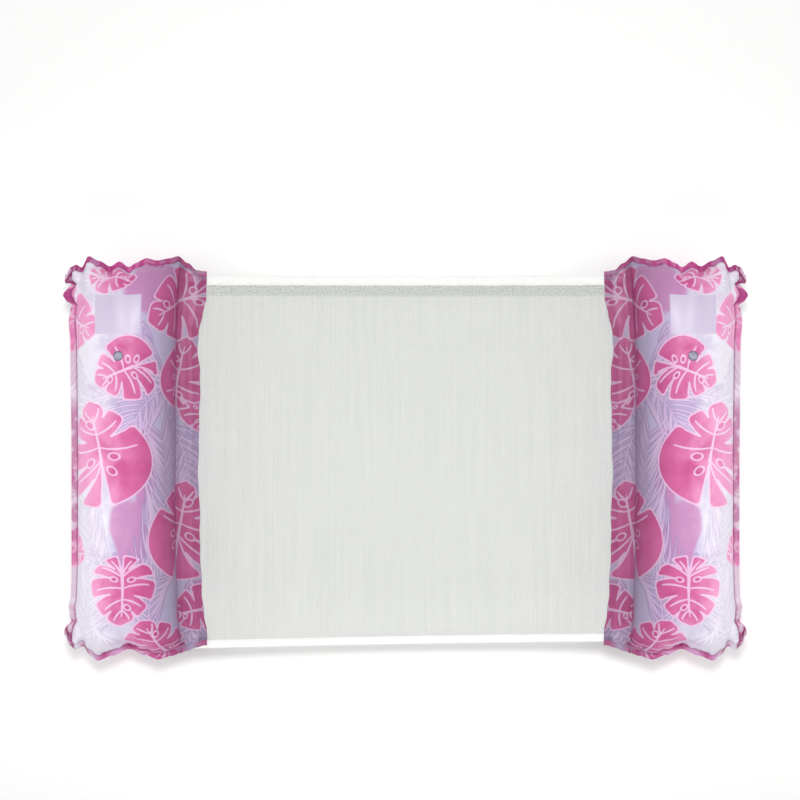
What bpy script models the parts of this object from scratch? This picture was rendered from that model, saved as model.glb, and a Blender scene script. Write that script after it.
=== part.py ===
"""Inflatable hammock float: two welded film pillows with a mesh seat stretched between them.

Units are metres, +Z is up, +X runs from pillow to pillow and Y along each pillow. The origin lies
midway between the pillows, on the surface that they rest on. Each pillow is an upper and a lower
sheet of printed film, welded round the rim and crimped at both ends. The sheets run on past the
inner weld as a flange, and hold the tape that edges the mesh. A soft push-in valve sits in the
upper sheet, with its base ring, folding skirt, stem, check flap, plug and tether.
"""

import math

import bpy
from mathutils import Matrix, Vector
from mathutils.bvhtree import BVHTree

# Overall sizes
OVERALL_LENGTH = 1.184
PILLOW_LENGTH = 0.700
PILLOW_HEIGHT = 0.140
SEAT_INSET = 0.030
SEAT_SHIFT = -0.0035

# Pillow: the air chamber and the welds round it
CHAMBER_WIDTH = 0.168
END_FLARE = 0.010
OUTER_WELD = 0.012
END_WELD = 0.010
INNER_FLANGE = 0.038
FILM = 0.0004
REST_CUT = 0.0005

# Crimps along the end welds and the lobes beside them
REAR_CRIMP_PITCH = 0.051
REAR_CRIMP_START = -0.065
FRONT_CRIMP_PITCH = 0.107
FRONT_CRIMP_START = -0.051
CRIMP_DEPTH = 0.015
INNER_CORNER_DROP = 0.020
OUTER_CORNER_DROP = 0.012
SEAM_WAVE = 0.006
PUCKER = 0.22
LOBE_PITCH = 0.039
LOBE_REACH = 0.006
LOBE_ROWS = 4

# Mesh seat and its tapes
MESH = 0.0008
SEAT_SAG = 0.022
HEM_SAG = 0.016
HEM_TAPE = 0.0005
HEM_TAPE_WIDTH = 0.014
TURNED_HEM = 0.034
EDGE_TAPE = 0.0006
EDGE_TAPE_WIDTH = 0.014

# Push-in valve
VALVE_FROM_SPINE = 0.007
VALVE_FROM_END = 0.174
RING_RIM = 0.0055
RING_WALL = 0.0008
SKIRT_WALL = 0.0006
SKIRT_DEPTH = 0.0058
STEM_OUTSIDE = 0.011
STEM_WALL = 0.0017
STEM_LENGTH = 0.017
COLLAR_RIM = 0.0011
COLLAR_HEIGHT = 0.0012
CAP_RIM = 0.0015
CAP_HEIGHT = 0.0016
CAP_EDGE = 0.0005
SHANK_LENGTH = 0.007
SHANK_TAPER = 0.00075
FLAP_LAP = 0.0010
FLAP_THICKNESS = 0.0006
LUG_WIDTH = 0.003
LUG_DEPTH = 0.0010
TETHER_WIDTH = 0.0024
TETHER_THICKNESS = 0.0007

# Clearances
SEAT_GAP = 0.0003
WELD_GAP = 0.0003
CAP_GAP = 0.0006
FLANGE_TO_HINGE = 0.00065
MESH_TO_HINGE = 0.00025
HEM_TO_HINGE = 0.0025

# Curves of the inflated form: a higher power keeps a change nearer the weld or the end
CROWN_POWER = 2.1
CROWN_ROOT = 0.5
END_POWER = 7
END_ROOT = 0.6
FLARE_POWER = 3
DRAW_POWER = 12
WAVE_POWER = 10
PUCKER_POWER = 5
OUTER_CORNER_START = 0.6
WAVE_FADE_START = 0.7

# Counts of facets, and the reach of tools and patches at the valve
CHAMBER_COLUMNS = 22
MIDDLE_ROWS = 6
SEAT_COLUMNS = 12
SEAT_ROWS = 8
HEM_TURN_STEPS = 4
TAPE_TURN_STEPS = 6
TURN_STEPS = 20
TOOL_REACH = 0.006
RING_PATCH = 0.090
SMOOTH_ANGLE = math.radians(50)
ON_AXIS = 1e-6

# Finishes: material name, colour, roughness and opacity
FINISHES = {
    "film": ("printed_film", (0.72, 0.30, 0.52), 0.25, 1.0),
    "mesh": ("white_mesh", (0.80, 0.82, 0.80), 0.70, 1.0),
    "tape": ("white_tape", (0.92, 0.92, 0.92), 0.45, 1.0),
    "valve": ("clear_valve", (0.62, 0.68, 0.74), 0.30, 0.6),
}

# Heights and half sizes that several pieces share
CHAMBER_HALF = CHAMBER_WIDTH / 2
CHAMBER_END = PILLOW_LENGTH / 2 - END_WELD
SEAT_WIDTH = PILLOW_LENGTH - 2 * SEAT_INSET
SEAM_Z = PILLOW_HEIGHT / 2
DOME = PILLOW_HEIGHT / 2 - WELD_GAP / 2 - FILM
TAPE_RISE = EDGE_TAPE / 2 + SEAT_GAP - WELD_GAP / 2

# Round sizes of the valve, worked outwards from its stem
STEM_BORE = STEM_OUTSIDE - 2 * STEM_WALL
STEM_COLLAR = STEM_OUTSIDE + 2 * COLLAR_RIM
FLAP = STEM_BORE + 2 * FLAP_LAP
PLUG_CAP = STEM_OUTSIDE + 2 * CAP_RIM
VALVE_HOLE = PLUG_CAP + 2 * (CAP_GAP + SKIRT_WALL + SEAT_GAP)
VALVE_RING = VALVE_HOLE + 2 * RING_RIM


# Plan outline of a pillow: u runs across from its spine towards the seat, v along it

def smooth_step(value):
    """Rise from 0 to 1 with level ends."""
    value = min(max(value, 0.0), 1.0)
    return value * value * (3.0 - 2.0 * value)


def chamber_columns():
    """Places across the chamber from -1 to 1, closer together near the side welds."""
    places = []
    for step in range(CHAMBER_COLUMNS + 1):
        share = step / CHAMBER_COLUMNS
        places.append(0.5 * (2 * share - 1) - 0.5 * math.cos(math.pi * share))
    return places


def chamber_rows():
    """Places along the chamber: half a lobe apart near the ends, wider in the middle."""
    near_end = [CHAMBER_END - step * LOBE_PITCH / 2 for step in range(LOBE_ROWS + 1)]
    inner = near_end[-1]
    middle = [inner - 2 * inner * step / MIDDLE_ROWS for step in range(1, MIDDLE_ROWS)]
    return [-place for place in near_end] + sorted(middle) + near_end[::-1]


def chamber_half(v):
    """Half the chamber's width, which flares towards the ends."""
    return CHAMBER_HALF + END_FLARE * (abs(v) / CHAMBER_END) ** FLARE_POWER


def outer_reach(v):
    """How far the outer weld stands from the spine, with its lobes beside the ends."""
    from_end = CHAMBER_END - abs(v)
    fade = smooth_step(1.0 - from_end / (LOBE_ROWS * LOBE_PITCH / 2))
    lobe = 0.5 - 0.5 * math.cos(2 * math.pi * from_end / LOBE_PITCH)
    return chamber_half(v) + OUTER_WELD + LOBE_REACH * fade * lobe


def crimp(u, rear):
    """How far the end weld is drawn in at a place across the pillow, from 0 at a crest to 1."""
    pitch, start = REAR_CRIMP_PITCH, REAR_CRIMP_START
    if not rear:
        pitch, start = FRONT_CRIMP_PITCH, FRONT_CRIMP_START
    return 0.5 - 0.5 * math.cos(2 * math.pi * (u - start) / pitch)


def end_drawn_in(u, rear):
    """How far the rim lies inside the pillow's full length at a place across it."""
    inner = smooth_step((u - CHAMBER_HALF) / INNER_FLANGE)
    corner = OUTER_CORNER_START * CHAMBER_HALF
    outer = smooth_step((-u - corner) / (CHAMBER_HALF + OUTER_WELD - corner))
    crest = CRIMP_DEPTH * crimp(u, rear) * (1.0 - inner)
    return crest + INNER_CORNER_DROP * inner + OUTER_CORNER_DROP * outer


# Places along X that follow from the outline
SPINE_X = OVERALL_LENGTH / 2 - max(outer_reach(v) for v in chamber_rows())
HINGE_U = CHAMBER_HALF + INNER_FLANGE
HINGE_X = SPINE_X - HINGE_U


def material(name, colour, roughness, alpha):
    """A Principled material of one colour."""
    made = bpy.data.materials.new(name)
    made.use_nodes = True
    shader = made.node_tree.nodes["Principled BSDF"]
    shader.inputs["Base Color"].default_value = (*colour, 1.0)
    shader.inputs["Roughness"].default_value = roughness
    shader.inputs["Metallic"].default_value = 0.0
    shader.inputs["Alpha"].default_value = alpha
    return made


def add_object(name, mesh, finish, parent=None):
    """Link a mesh as a named object with one material."""
    mesh.materials.append(finish)
    made = bpy.data.objects.new(name, mesh)
    bpy.context.scene.collection.objects.link(made)
    made.parent = parent
    return made


def add_empty(name, place, parent=None):
    """An empty that carries the pieces of one moving body."""
    made = bpy.data.objects.new(name, None)
    bpy.context.scene.collection.objects.link(made)
    made.parent = parent
    made.matrix_world = place
    return made


def mesh_from(name, points, faces, smooth=True):
    """A mesh made from points and faces, shaded smooth except at sharp edges."""
    mesh = bpy.data.meshes.new(name)
    mesh.from_pydata([tuple(p) for p in points], [], faces)
    mesh.update()
    if smooth:
        mesh.shade_smooth()
        mesh.set_sharp_from_angle(angle=SMOOTH_ANGLE)
    return mesh


def grid_faces(columns, rows, flip):
    """Triangles of a grid stored row by row, with the same diagonals whichever way they face."""
    faces = []
    for row in range(rows - 1):
        for column in range(columns - 1):
            corner = row * columns + column
            across = corner + columns + 1
            for face in ((corner, corner + 1, across), (corner, across, corner + columns)):
                faces.append(face[::-1] if flip else face)
    return faces


def thicken(piece, wall, offset, rise=0.0):
    """Move a sheet along its normals by rise, then give it its wall."""
    if rise:
        lift = piece.modifiers.new("Lift", "DISPLACE")
        lift.mid_level = 0.0
        lift.strength = rise
    shell = piece.modifiers.new("Wall", "SOLIDIFY")
    shell.thickness = wall
    shell.offset = offset
    shell.use_even_offset = True


def hidden_tool(name, mesh, place):
    """A tool for cuts and unions, left out of the finished part."""
    made = bpy.data.objects.new(name, mesh)
    bpy.context.scene.collection.objects.link(made)
    made.matrix_world = place
    made.hide_render = True
    made.display_type = "WIRE"
    return made


def shape_with(piece, tool, operation):
    """Cut a piece with a tool, keep what they share, or join them."""
    step = piece.modifiers.new("Shape", "BOOLEAN")
    step.operation = operation
    step.solver = "EXACT"
    step.object = tool


# Pillow film

def film_point(column, row, upper):
    """A point of one sheet's inner face: u across from the spine, v along, and the height."""
    kind, across = column
    at_rim, v = row
    rear = v > 0
    t = abs(v) / CHAMBER_END
    s = 0.0
    if kind == "chamber":
        s = across
        u = s * chamber_half(v)
    elif kind == "outer":
        u = -outer_reach(v)
    else:
        u = across
    draw = end_drawn_in(u, rear) * t ** DRAW_POWER
    along = abs(v) - draw + (END_WELD if at_rim else 0.0)
    fade_start = WAVE_FADE_START * CHAMBER_HALF
    wave_fade = 1.0 - smooth_step((u - fade_start) / (CHAMBER_HALF - fade_start))
    pitch = REAR_CRIMP_PITCH if rear else FRONT_CRIMP_PITCH / 2
    swing = math.sin(math.pi * (u + CHAMBER_HALF) / pitch)
    wave = SEAM_WAVE * swing * t ** WAVE_POWER * wave_fade
    rise = 0.0
    if kind == "chamber" and not at_rim:
        crown = (1.0 - abs(s) ** CROWN_POWER) ** CROWN_ROOT
        swell = crown * (1.0 - t ** END_POWER) ** END_ROOT
        pucker = 1.0 - PUCKER * (crimp(u, rear) - 0.5) * t ** PUCKER_POWER
        rise = (DOME if upper else DOME + REST_CUT) * swell * pucker
        rise = min(rise, DOME)
    elif kind == "tape":
        rise = TAPE_RISE
    height = SEAM_Z + wave + (rise if upper else -rise)
    return u, math.copysign(along, v), height


def film_columns():
    """Columns of the sheet from its outer weld to the hinge line."""
    tape_edge = HINGE_U - FLANGE_TO_HINGE - EDGE_TAPE_WIDTH - SEAT_GAP
    return (
        [("outer", None)]
        + [("chamber", place) for place in chamber_columns()]
        + [("tape", tape_edge), ("tape", HINGE_U - FLANGE_TO_HINGE)]
    )


def film_rows():
    """Rows of the sheet, with the end welds outside the chamber."""
    inner = chamber_rows()
    return [(True, inner[0])] + [(False, v) for v in inner] + [(True, inner[-1])]


def film_sheet(side, upper):
    """Points and faces of one sheet's inner face, its normals pointing away from the air."""
    columns, rows = film_columns(), film_rows()
    points = []
    for row in rows:
        for column in columns:
            u, v, height = film_point(column, row, upper)
            points.append(Vector((side * (SPINE_X - u), v, height)))
    flip = (side > 0) == upper
    return points, grid_faces(len(columns), len(rows), flip)


def make_film(name, side, upper, finish, parent):
    """One welded sheet of a pillow."""
    points, faces = film_sheet(side, upper)
    film = add_object(name, mesh_from(name, points, faces), finish, parent)
    thicken(film, FILM, 1.0, WELD_GAP / 2)
    return film


def make_edge_tape(name, side, finish, parent):
    """The flat tape that edges the mesh, held between the two sheets' flanges."""
    outer = side * (HINGE_X + FLANGE_TO_HINGE + EDGE_TAPE_WIDTH)
    inner = side * (HINGE_X + FLANGE_TO_HINGE)
    low, high = sorted((outer, inner))
    half = SEAT_WIDTH / 2
    points = [(low, SEAT_SHIFT - half, SEAM_Z), (high, SEAT_SHIFT - half, SEAM_Z)]
    points += [(low, SEAT_SHIFT + half, SEAM_Z), (high, SEAT_SHIFT + half, SEAM_Z)]
    tape = add_object(name, mesh_from(name, points, grid_faces(2, 2, False)), finish, parent)
    thicken(tape, EDGE_TAPE, 0.0)
    return tape


# Valve

def turned(name, profile, steps=TURN_STEPS):
    """A solid turned about local Z from (radius, height) points that run up its outer side."""
    points = []
    rings = []
    for radius, height in profile:
        if radius < ON_AXIS:
            rings.append([len(points)])
            points.append((0.0, 0.0, height))
            continue
        ring = []
        for step in range(steps):
            angle = 2 * math.pi * step / steps
            ring.append(len(points))
            points.append((radius * math.cos(angle), radius * math.sin(angle), height))
        rings.append(ring)
    closed = len(rings[0]) > 1
    pairs = list(zip(rings, rings[1:]))
    if closed:
        pairs.append((rings[-1], rings[0]))
    faces = []
    for low, high in pairs:
        for step in range(steps):
            after = (step + 1) % steps
            if len(low) == 1:
                faces.append((low[0], high[after], high[step]))
            elif len(high) == 1:
                faces.append((low[step], low[after], high[0]))
            else:
                faces.append((low[step], low[after], high[after], high[step]))
    return mesh_from(name, points, faces)


def box_mesh(name, low, high):
    """A plain block between two corners."""
    points = [
        (x, y, z) for z in (low[2], high[2]) for y in (low[1], high[1]) for x in (low[0], high[0])
    ]
    faces = [(0, 2, 3, 1), (4, 5, 7, 6), (0, 1, 5, 4), (2, 6, 7, 3), (0, 4, 6, 2), (1, 3, 7, 5)]
    return mesh_from(name, points, faces, smooth=False)


def round_tool(name, diameter, place):
    """A round tool that reaches well past both faces of the sheet at the valve."""
    half = diameter / 2
    profile = [(0.0, -TOOL_REACH), (half, -TOOL_REACH), (half, TOOL_REACH), (0.0, TOOL_REACH)]
    return hidden_tool(name, turned(name, profile), place)


def valve_place(side):
    """The valve's frame: origin on the upper sheet's outer face, Z along the sheet's normal."""
    points, faces = film_sheet(side, True)
    tree = BVHTree.FromPolygons(points, faces)
    valve_y = PILLOW_LENGTH / 2 - VALVE_FROM_END
    above = Vector((side * (SPINE_X + VALVE_FROM_SPINE), valve_y, PILLOW_HEIGHT * 2))
    hit, normal, _, _ = tree.ray_cast(above, Vector((0.0, 0.0, -1.0)))
    across = side * Vector((0.0, 1.0, 0.0)).cross(normal).normalized()
    along = normal.cross(across).normalized()
    frame = Matrix((across, along, normal)).transposed().to_4x4()
    frame.translation = hit + normal * (WELD_GAP / 2 + FILM)
    return frame


def near_place(face, points, place):
    """Whether a face has a corner within the patch that the valve ring is cut from."""
    return min((points[index] - place).length for index in face) < RING_PATCH


def make_valve_ring(name, side, frame, finish, parent):
    """The base ring, welded under the sheet and shaped to it."""
    points, faces = film_sheet(side, True)
    near = [face for face in faces if near_place(face, points, frame.translation)]
    used = sorted({index for face in near for index in face})
    place = {index: number for number, index in enumerate(used)}
    patch = mesh_from(name, [points[i] for i in used], [[place[i] for i in face] for face in near])
    ring = add_object(name, patch, finish, parent)
    thicken(ring, RING_WALL, -1.0, WELD_GAP / 2 - SEAT_GAP)
    shape_with(ring, round_tool(name + "_outline", VALVE_RING, frame), "INTERSECT")
    shape_with(ring, round_tool(name + "_bore", VALVE_HOLE, frame), "DIFFERENCE")
    return ring


def make_valve_skirt(name, frame, finish, parent):
    """The thin skirt that folds down from the ring to the stem as a round well."""
    outside = VALVE_HOLE / 2 - SEAT_GAP
    top = -FILM - SEAT_GAP
    inside = STEM_OUTSIDE / 2 + SEAT_GAP
    profile = [
        (inside, -SKIRT_DEPTH - SKIRT_WALL),
        (outside, -SKIRT_DEPTH - SKIRT_WALL),
        (outside, top),
        (outside - SKIRT_WALL, top),
        (outside - SKIRT_WALL, -SKIRT_DEPTH),
        (inside, -SKIRT_DEPTH),
    ]
    skirt = add_object(name, turned(name, profile), finish, parent)
    skirt.matrix_world = frame
    return skirt


def make_valve_stem(name, frame, finish, parent):
    """The hollow stem with its collar and the lug that carries the check flap."""
    top = -CAP_HEIGHT - SEAT_GAP
    bottom = top - STEM_LENGTH
    collar = bottom + COLLAR_HEIGHT
    profile = [
        (STEM_BORE / 2, bottom),
        (STEM_COLLAR / 2, bottom),
        (STEM_COLLAR / 2, collar),
        (STEM_OUTSIDE / 2, collar),
        (STEM_OUTSIDE / 2, top),
        (STEM_BORE / 2, top),
    ]
    stem = add_object(name, turned(name, profile), finish, parent)
    stem.matrix_world = frame
    inner = FLAP / 2 + SEAT_GAP
    drop = bottom - SEAT_GAP - FLAP_THICKNESS
    low = (inner, -LUG_WIDTH / 2, drop)
    high = (inner + LUG_DEPTH, LUG_WIDTH / 2, bottom + COLLAR_HEIGHT / 2)
    shape_with(stem, hidden_tool(name + "_lug", box_mesh(name + "_lug", low, high), frame), "UNION")
    return stem


def make_check_flap(name, frame, finish, parent):
    """The flap that closes the stem's lower end, held at its lug side."""
    top = -CAP_HEIGHT - SEAT_GAP - STEM_LENGTH - SEAT_GAP
    profile = [(0.0, top - FLAP_THICKNESS), (FLAP / 2, top - FLAP_THICKNESS), (FLAP / 2, top), (0.0, top)]
    flap = add_object(name, turned(name, profile), finish, parent)
    flap.matrix_world = frame
    return flap


def make_valve_plug(name, frame, finish, parent):
    """The plug: a cap flush with the sheet and a tapered shank in the stem's bore."""
    shank = STEM_BORE / 2 - SEAT_GAP
    foot = -CAP_HEIGHT - SHANK_LENGTH
    profile = [
        (0.0, foot),
        (shank - SHANK_TAPER, foot),
        (shank, foot + SHANK_LENGTH / 3),
        (shank, -CAP_HEIGHT),
        (PLUG_CAP / 2, -CAP_HEIGHT),
        (PLUG_CAP / 2, -CAP_EDGE),
        (PLUG_CAP / 2 - CAP_EDGE, 0.0),
        (0.0, 0.0),
    ]
    plug = add_object(name, turned(name, profile), finish, parent)
    plug.matrix_world = frame
    return plug


def make_plug_tether(name, frame, finish, parent):
    """The short strap from the cap's underside down to the stem, folded in the well."""
    outer = PLUG_CAP / 2
    top = -CAP_HEIGHT - SEAT_GAP
    foot = -SKIRT_DEPTH + SEAT_GAP
    stem_side = STEM_OUTSIDE / 2 + SEAT_GAP
    outline = [
        (outer, top),
        (outer - TETHER_THICKNESS, top),
        (outer - TETHER_THICKNESS, foot + TETHER_THICKNESS),
        (stem_side, foot + TETHER_THICKNESS),
        (stem_side, foot),
        (outer, foot),
    ]
    points = [(-r, y, z) for y in (-TETHER_WIDTH / 2, TETHER_WIDTH / 2) for r, z in outline]
    count = len(outline)
    faces = [tuple(range(count - 1, -1, -1)), tuple(range(count, 2 * count))]
    for step in range(count):
        after = (step + 1) % count
        faces.append((step, after, after + count, step + count))
    tether = add_object(name, mesh_from(name, points, faces, smooth=False), finish, parent)
    tether.matrix_world = frame
    return tether


# Mesh seat

def sag(x, y):
    """How far the seat hangs below the hinge line at a place."""
    along = 1.0 - (x / HINGE_X) ** 2
    across = 1.0 - ((y - SEAT_SHIFT) / (SEAT_WIDTH / 2)) ** 2
    return (HEM_SAG + (SEAT_SAG - HEM_SAG) * max(across, 0.0)) * max(along, 0.0)


def make_swept_sheet(name, path, half_lengths, wall, finish):
    """A sheet swept along X: path gives (y, drop below the seat) and half_lengths its rows' ends."""
    points = []
    for (y, drop), half in zip(path, half_lengths):
        for column in range(SEAT_COLUMNS + 1):
            x = half * (2.0 * column / SEAT_COLUMNS - 1.0)
            points.append((x, y, SEAM_Z - sag(x, y) - drop))
    mesh = mesh_from(name, points, grid_faces(SEAT_COLUMNS + 1, len(path), False))
    sheet = add_object(name, mesh, finish)
    thicken(sheet, wall, 0.0)
    return sheet


def half_turn(edge, radius, steps, direction):
    """Points of a half turn under an edge: (y, drop), from the top face round to below."""
    turn = []
    for step in range(steps + 1):
        angle = math.pi * step / steps
        turn.append((edge + direction * radius * math.sin(angle), radius * (1 - math.cos(angle))))
    return turn


def make_mesh_panel(finish):
    """The mesh seat, its rear edge turned under as a double hem."""
    fold = (MESH + SEAT_GAP) / 2
    inset = SEAT_GAP + HEM_TAPE
    front = SEAT_SHIFT - SEAT_WIDTH / 2 + inset + MESH / 2
    rear = SEAT_SHIFT + SEAT_WIDTH / 2 - inset - MESH / 2 - fold
    path = [(front + (rear - front) * row / SEAT_ROWS, 0.0) for row in range(SEAT_ROWS)]
    turn = half_turn(rear, fold, HEM_TURN_STEPS, 1)
    path += turn
    path.append((rear - TURNED_HEM, 2 * fold))
    single = HINGE_X - MESH_TO_HINGE
    doubled = HINGE_X - HEM_TO_HINGE
    halves = [single] * SEAT_ROWS + [doubled] * (len(turn) + 1)
    return make_swept_sheet("mesh_seat_panel", path, halves, MESH, finish)


def make_hem_tape(name, direction, layers, finish):
    """A binding tape folded over the seat's front or rear edge."""
    stack = layers * MESH + (layers - 1) * SEAT_GAP
    radius = stack / 2 + SEAT_GAP + HEM_TAPE / 2
    above = MESH / 2 + SEAT_GAP + HEM_TAPE / 2
    edge = SEAT_SHIFT + direction * (SEAT_WIDTH / 2 - HEM_TAPE / 2 - radius)
    start = SEAT_SHIFT + direction * (SEAT_WIDTH / 2 - HEM_TAPE_WIDTH)
    turn = half_turn(edge, radius, TAPE_TURN_STEPS, direction)
    path = [(start, 0.0)] + turn + [(start, 2 * radius)]
    path = [(y, drop - above) for y, drop in path]
    if direction < 0:
        path = path[::-1]
    halves = [HINGE_X - HEM_TO_HINGE] * len(path)
    return make_swept_sheet(name, path, halves, HEM_TAPE, finish)


def build_pillow(side, word, finishes):
    """One pillow with its valve, on an empty at its hinge line."""
    hinge = add_empty(word + "_pillow", Matrix.Translation((side * HINGE_X, 0.0, SEAM_Z)))
    upper = make_film(word + "_upper_film", side, True, finishes["film"], None)
    lower = make_film(word + "_lower_film", side, False, finishes["film"], None)
    tape = make_edge_tape(word + "_edge_tape", side, finishes["tape"], None)
    frame = valve_place(side)
    shape_with(upper, round_tool(word + "_valve_hole", VALVE_HOLE, frame), "DIFFERENCE")
    clear = finishes["valve"]
    ring = make_valve_ring(word + "_valve_ring", side, frame, clear, None)
    skirt = make_valve_skirt(word + "_valve_skirt", frame, clear, None)
    for piece in (upper, lower, tape, ring, skirt):
        piece.parent = hinge
        piece.matrix_parent_inverse = hinge.matrix_world.inverted()
    stem = add_empty(word + "_stem", frame, hinge)
    make_valve_stem(word + "_valve_stem", frame, clear, stem)
    flap_x = FLAP / 2
    flap_z = -CAP_HEIGHT - STEM_LENGTH - 2 * SEAT_GAP - FLAP_THICKNESS
    flap_hinge = frame @ Matrix.Translation((flap_x, 0.0, flap_z))
    make_check_flap(word + "_check_flap", frame, clear, add_empty(word + "_flap", flap_hinge, stem))
    plug = add_empty(word + "_plug", frame, stem)
    make_valve_plug(word + "_valve_plug", frame, clear, plug)
    make_plug_tether(word + "_plug_tether", frame, clear, plug)


def main():
    """Clear the scene and build the float."""
    for old in list(bpy.data.objects):
        bpy.data.objects.remove(old)
    finishes = {key: material(*values) for key, values in FINISHES.items()}
    make_mesh_panel(finishes["mesh"])
    make_hem_tape("front_hem_tape", -1, 1, finishes["tape"])
    make_hem_tape("rear_hem_tape", 1, 2, finishes["tape"])
    for side, word in ((-1, "left"), (1, "right")):
        build_pillow(side, word, finishes)


main()
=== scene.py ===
"""Inflatable hammock float: printed pillows, mesh seat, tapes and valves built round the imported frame.

Two pillows of printed film lie at the ends of a white mesh seat. Each pillow is an upper and a lower
film, welded round the rim and crimped at both ends by the air inside. The mesh is lapped between the
films' inner flanges, bound with tape at its front and rear, and turned under as a hem at the rear.
A soft push-in valve sits in each upper film. Lengths are in metres unless a name says mm. On a
pillow, u runs across from its spine towards the seat and v along it towards the rear.
"""

import logging
import math
from dataclasses import dataclass, field
from enum import Enum
from typing import Callable, Sequence

import bmesh
import bpy
import numpy as np
from mathutils import Matrix, Vector


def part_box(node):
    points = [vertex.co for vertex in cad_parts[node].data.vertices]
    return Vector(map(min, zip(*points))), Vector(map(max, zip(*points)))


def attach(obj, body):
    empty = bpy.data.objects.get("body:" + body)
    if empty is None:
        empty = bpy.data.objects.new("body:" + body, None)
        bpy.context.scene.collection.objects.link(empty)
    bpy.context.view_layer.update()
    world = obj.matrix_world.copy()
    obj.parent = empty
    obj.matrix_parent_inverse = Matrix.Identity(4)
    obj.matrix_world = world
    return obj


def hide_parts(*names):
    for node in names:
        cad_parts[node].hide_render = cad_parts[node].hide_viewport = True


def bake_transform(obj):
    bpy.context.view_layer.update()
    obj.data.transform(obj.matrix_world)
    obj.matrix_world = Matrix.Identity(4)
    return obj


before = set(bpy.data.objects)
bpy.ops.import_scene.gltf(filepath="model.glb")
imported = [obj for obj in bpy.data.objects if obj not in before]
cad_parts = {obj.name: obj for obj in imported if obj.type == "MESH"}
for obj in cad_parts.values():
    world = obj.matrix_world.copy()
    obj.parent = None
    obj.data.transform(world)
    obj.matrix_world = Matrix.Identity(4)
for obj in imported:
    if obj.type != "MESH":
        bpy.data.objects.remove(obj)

log = logging.getLogger("hammock_float")
MM = 0.001


class Way(Enum):
    """A choice kept as the sign of a direction."""

    @property
    def word(self) -> str:
        """The choice's name, as the frame's bodies and nodes use it."""
        return self.name.lower()


class Side(Way):
    """The two pillows, by the sign of their place along X."""

    LEFT = -1
    RIGHT = 1


class Layer(Way):
    """The two films of a pillow, by the way that they bulge."""

    UPPER = 1
    LOWER = -1


class Hem(Way):
    """The seat's two bound edges, by the sign of their place along Y."""

    FRONT = -1
    REAR = 1


class BroadLobe(Enum):
    """The side of a printed leaf that holds one broad plain lobe, seen from stalk to tip."""

    NONE = 0
    RIGHT = 1
    LEFT = -1


def smooth_rise(value: np.ndarray, start: float, run: float) -> np.ndarray:
    """Rise from 0 to 1 with level ends, from a start over a run, or fall where the run is negative."""
    share = np.clip((value - start) / run, 0.0, 1.0)
    return share * share * (3.0 - 2.0 * share)


def waves(turn: np.ndarray, along: np.ndarray, rows: Sequence[tuple]) -> np.ndarray:
    """Add up sine waves.

    Args:
        turn: Place across the waves, times 2 pi where the rows give full wave lengths.
        along: Place along their crests.
        rows: Height, length, start and slant of each wave.

    Returns:
        Their height.
    """
    return sum(
        height * np.sin(turn / length + start + along * slant) for height, length, start, slant in rows
    )


def eased(place: np.ndarray, knots: Sequence[tuple], value: int) -> np.ndarray:
    """Read one value between knots, with a level tangent at each knot.

    Args:
        place: Where to read, in the knots' first number.
        knots: Rows that start with their place, in rising order.
        value: Which number of a row to read.

    Returns:
        The values at those places.
    """
    at = np.array([knot[0] for knot in knots], float)
    height = np.array([knot[value] for knot in knots], float)
    low = np.clip(np.searchsorted(at, place) - 1, 0, len(at) - 2)
    share = smooth_rise(place, at[low], at[low + 1] - at[low])
    return height[low] + (height[low + 1] - height[low]) * share


def refined(points: np.ndarray, factor: int) -> np.ndarray:
    """Add smoothly curved rows between the rows of a grid of points.

    Args:
        points: Grid of points, rows first.
        factor: How many new spans each span becomes.

    Returns:
        The finer grid, its old rows unchanged.
    """
    place = np.arange((len(points) - 1) * factor + 1) / factor
    low = np.minimum(place.astype(int), len(points) - 2)
    t = (place - low).reshape(-1, 1, 1)
    slope = np.gradient(points, axis=0)
    start, end = points[low], points[low + 1]
    leave, arrive = slope[low], slope[low + 1]
    curve = (2 * t**3 - 3 * t**2 + 1) * start + (t**3 - 2 * t**2 + t) * leave
    return curve + (3 * t**2 - 2 * t**3) * end + (t**3 - t**2) * arrive


def grid_normals(points: np.ndarray) -> np.ndarray:
    """Unit normals of a grid of points, rows first, by the right hand from columns to rows."""
    normal = np.cross(np.gradient(points, axis=1), np.gradient(points, axis=0))
    length = np.linalg.norm(normal, axis=2, keepdims=True)
    return normal / np.maximum(length, 1e-12)


def grid_quads(rows: int, columns: int) -> np.ndarray:
    """Quads of a grid stored row by row, facing up where rows run along Y and columns along X."""
    corner = np.arange(rows * columns).reshape(rows, columns)[:-1, :-1]
    quads = np.stack([corner, corner + 1, corner + columns + 1, corner + columns], axis=-1)
    return quads.reshape(-1, 4)


def tube_quads(index: np.ndarray) -> np.ndarray:
    """Quads round a tube, from the indices of its points: one row per line that runs along it."""
    after = np.roll(index, -1, axis=0)
    quads = np.stack([index[:, :-1], index[:, 1:], after[:, 1:], after[:, :-1]], axis=-1)
    return quads.reshape(-1, 4)


def grid_rim(rows: int, columns: int) -> np.ndarray:
    """Indices round the edge of a grid stored row by row, counter-clockwise."""
    corner = np.arange(rows * columns).reshape(rows, columns)
    parts = [corner[0, :-1], corner[:-1, -1], corner[-1, :0:-1], corner[:0:-1, 0]]
    return np.concatenate(parts)


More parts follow.
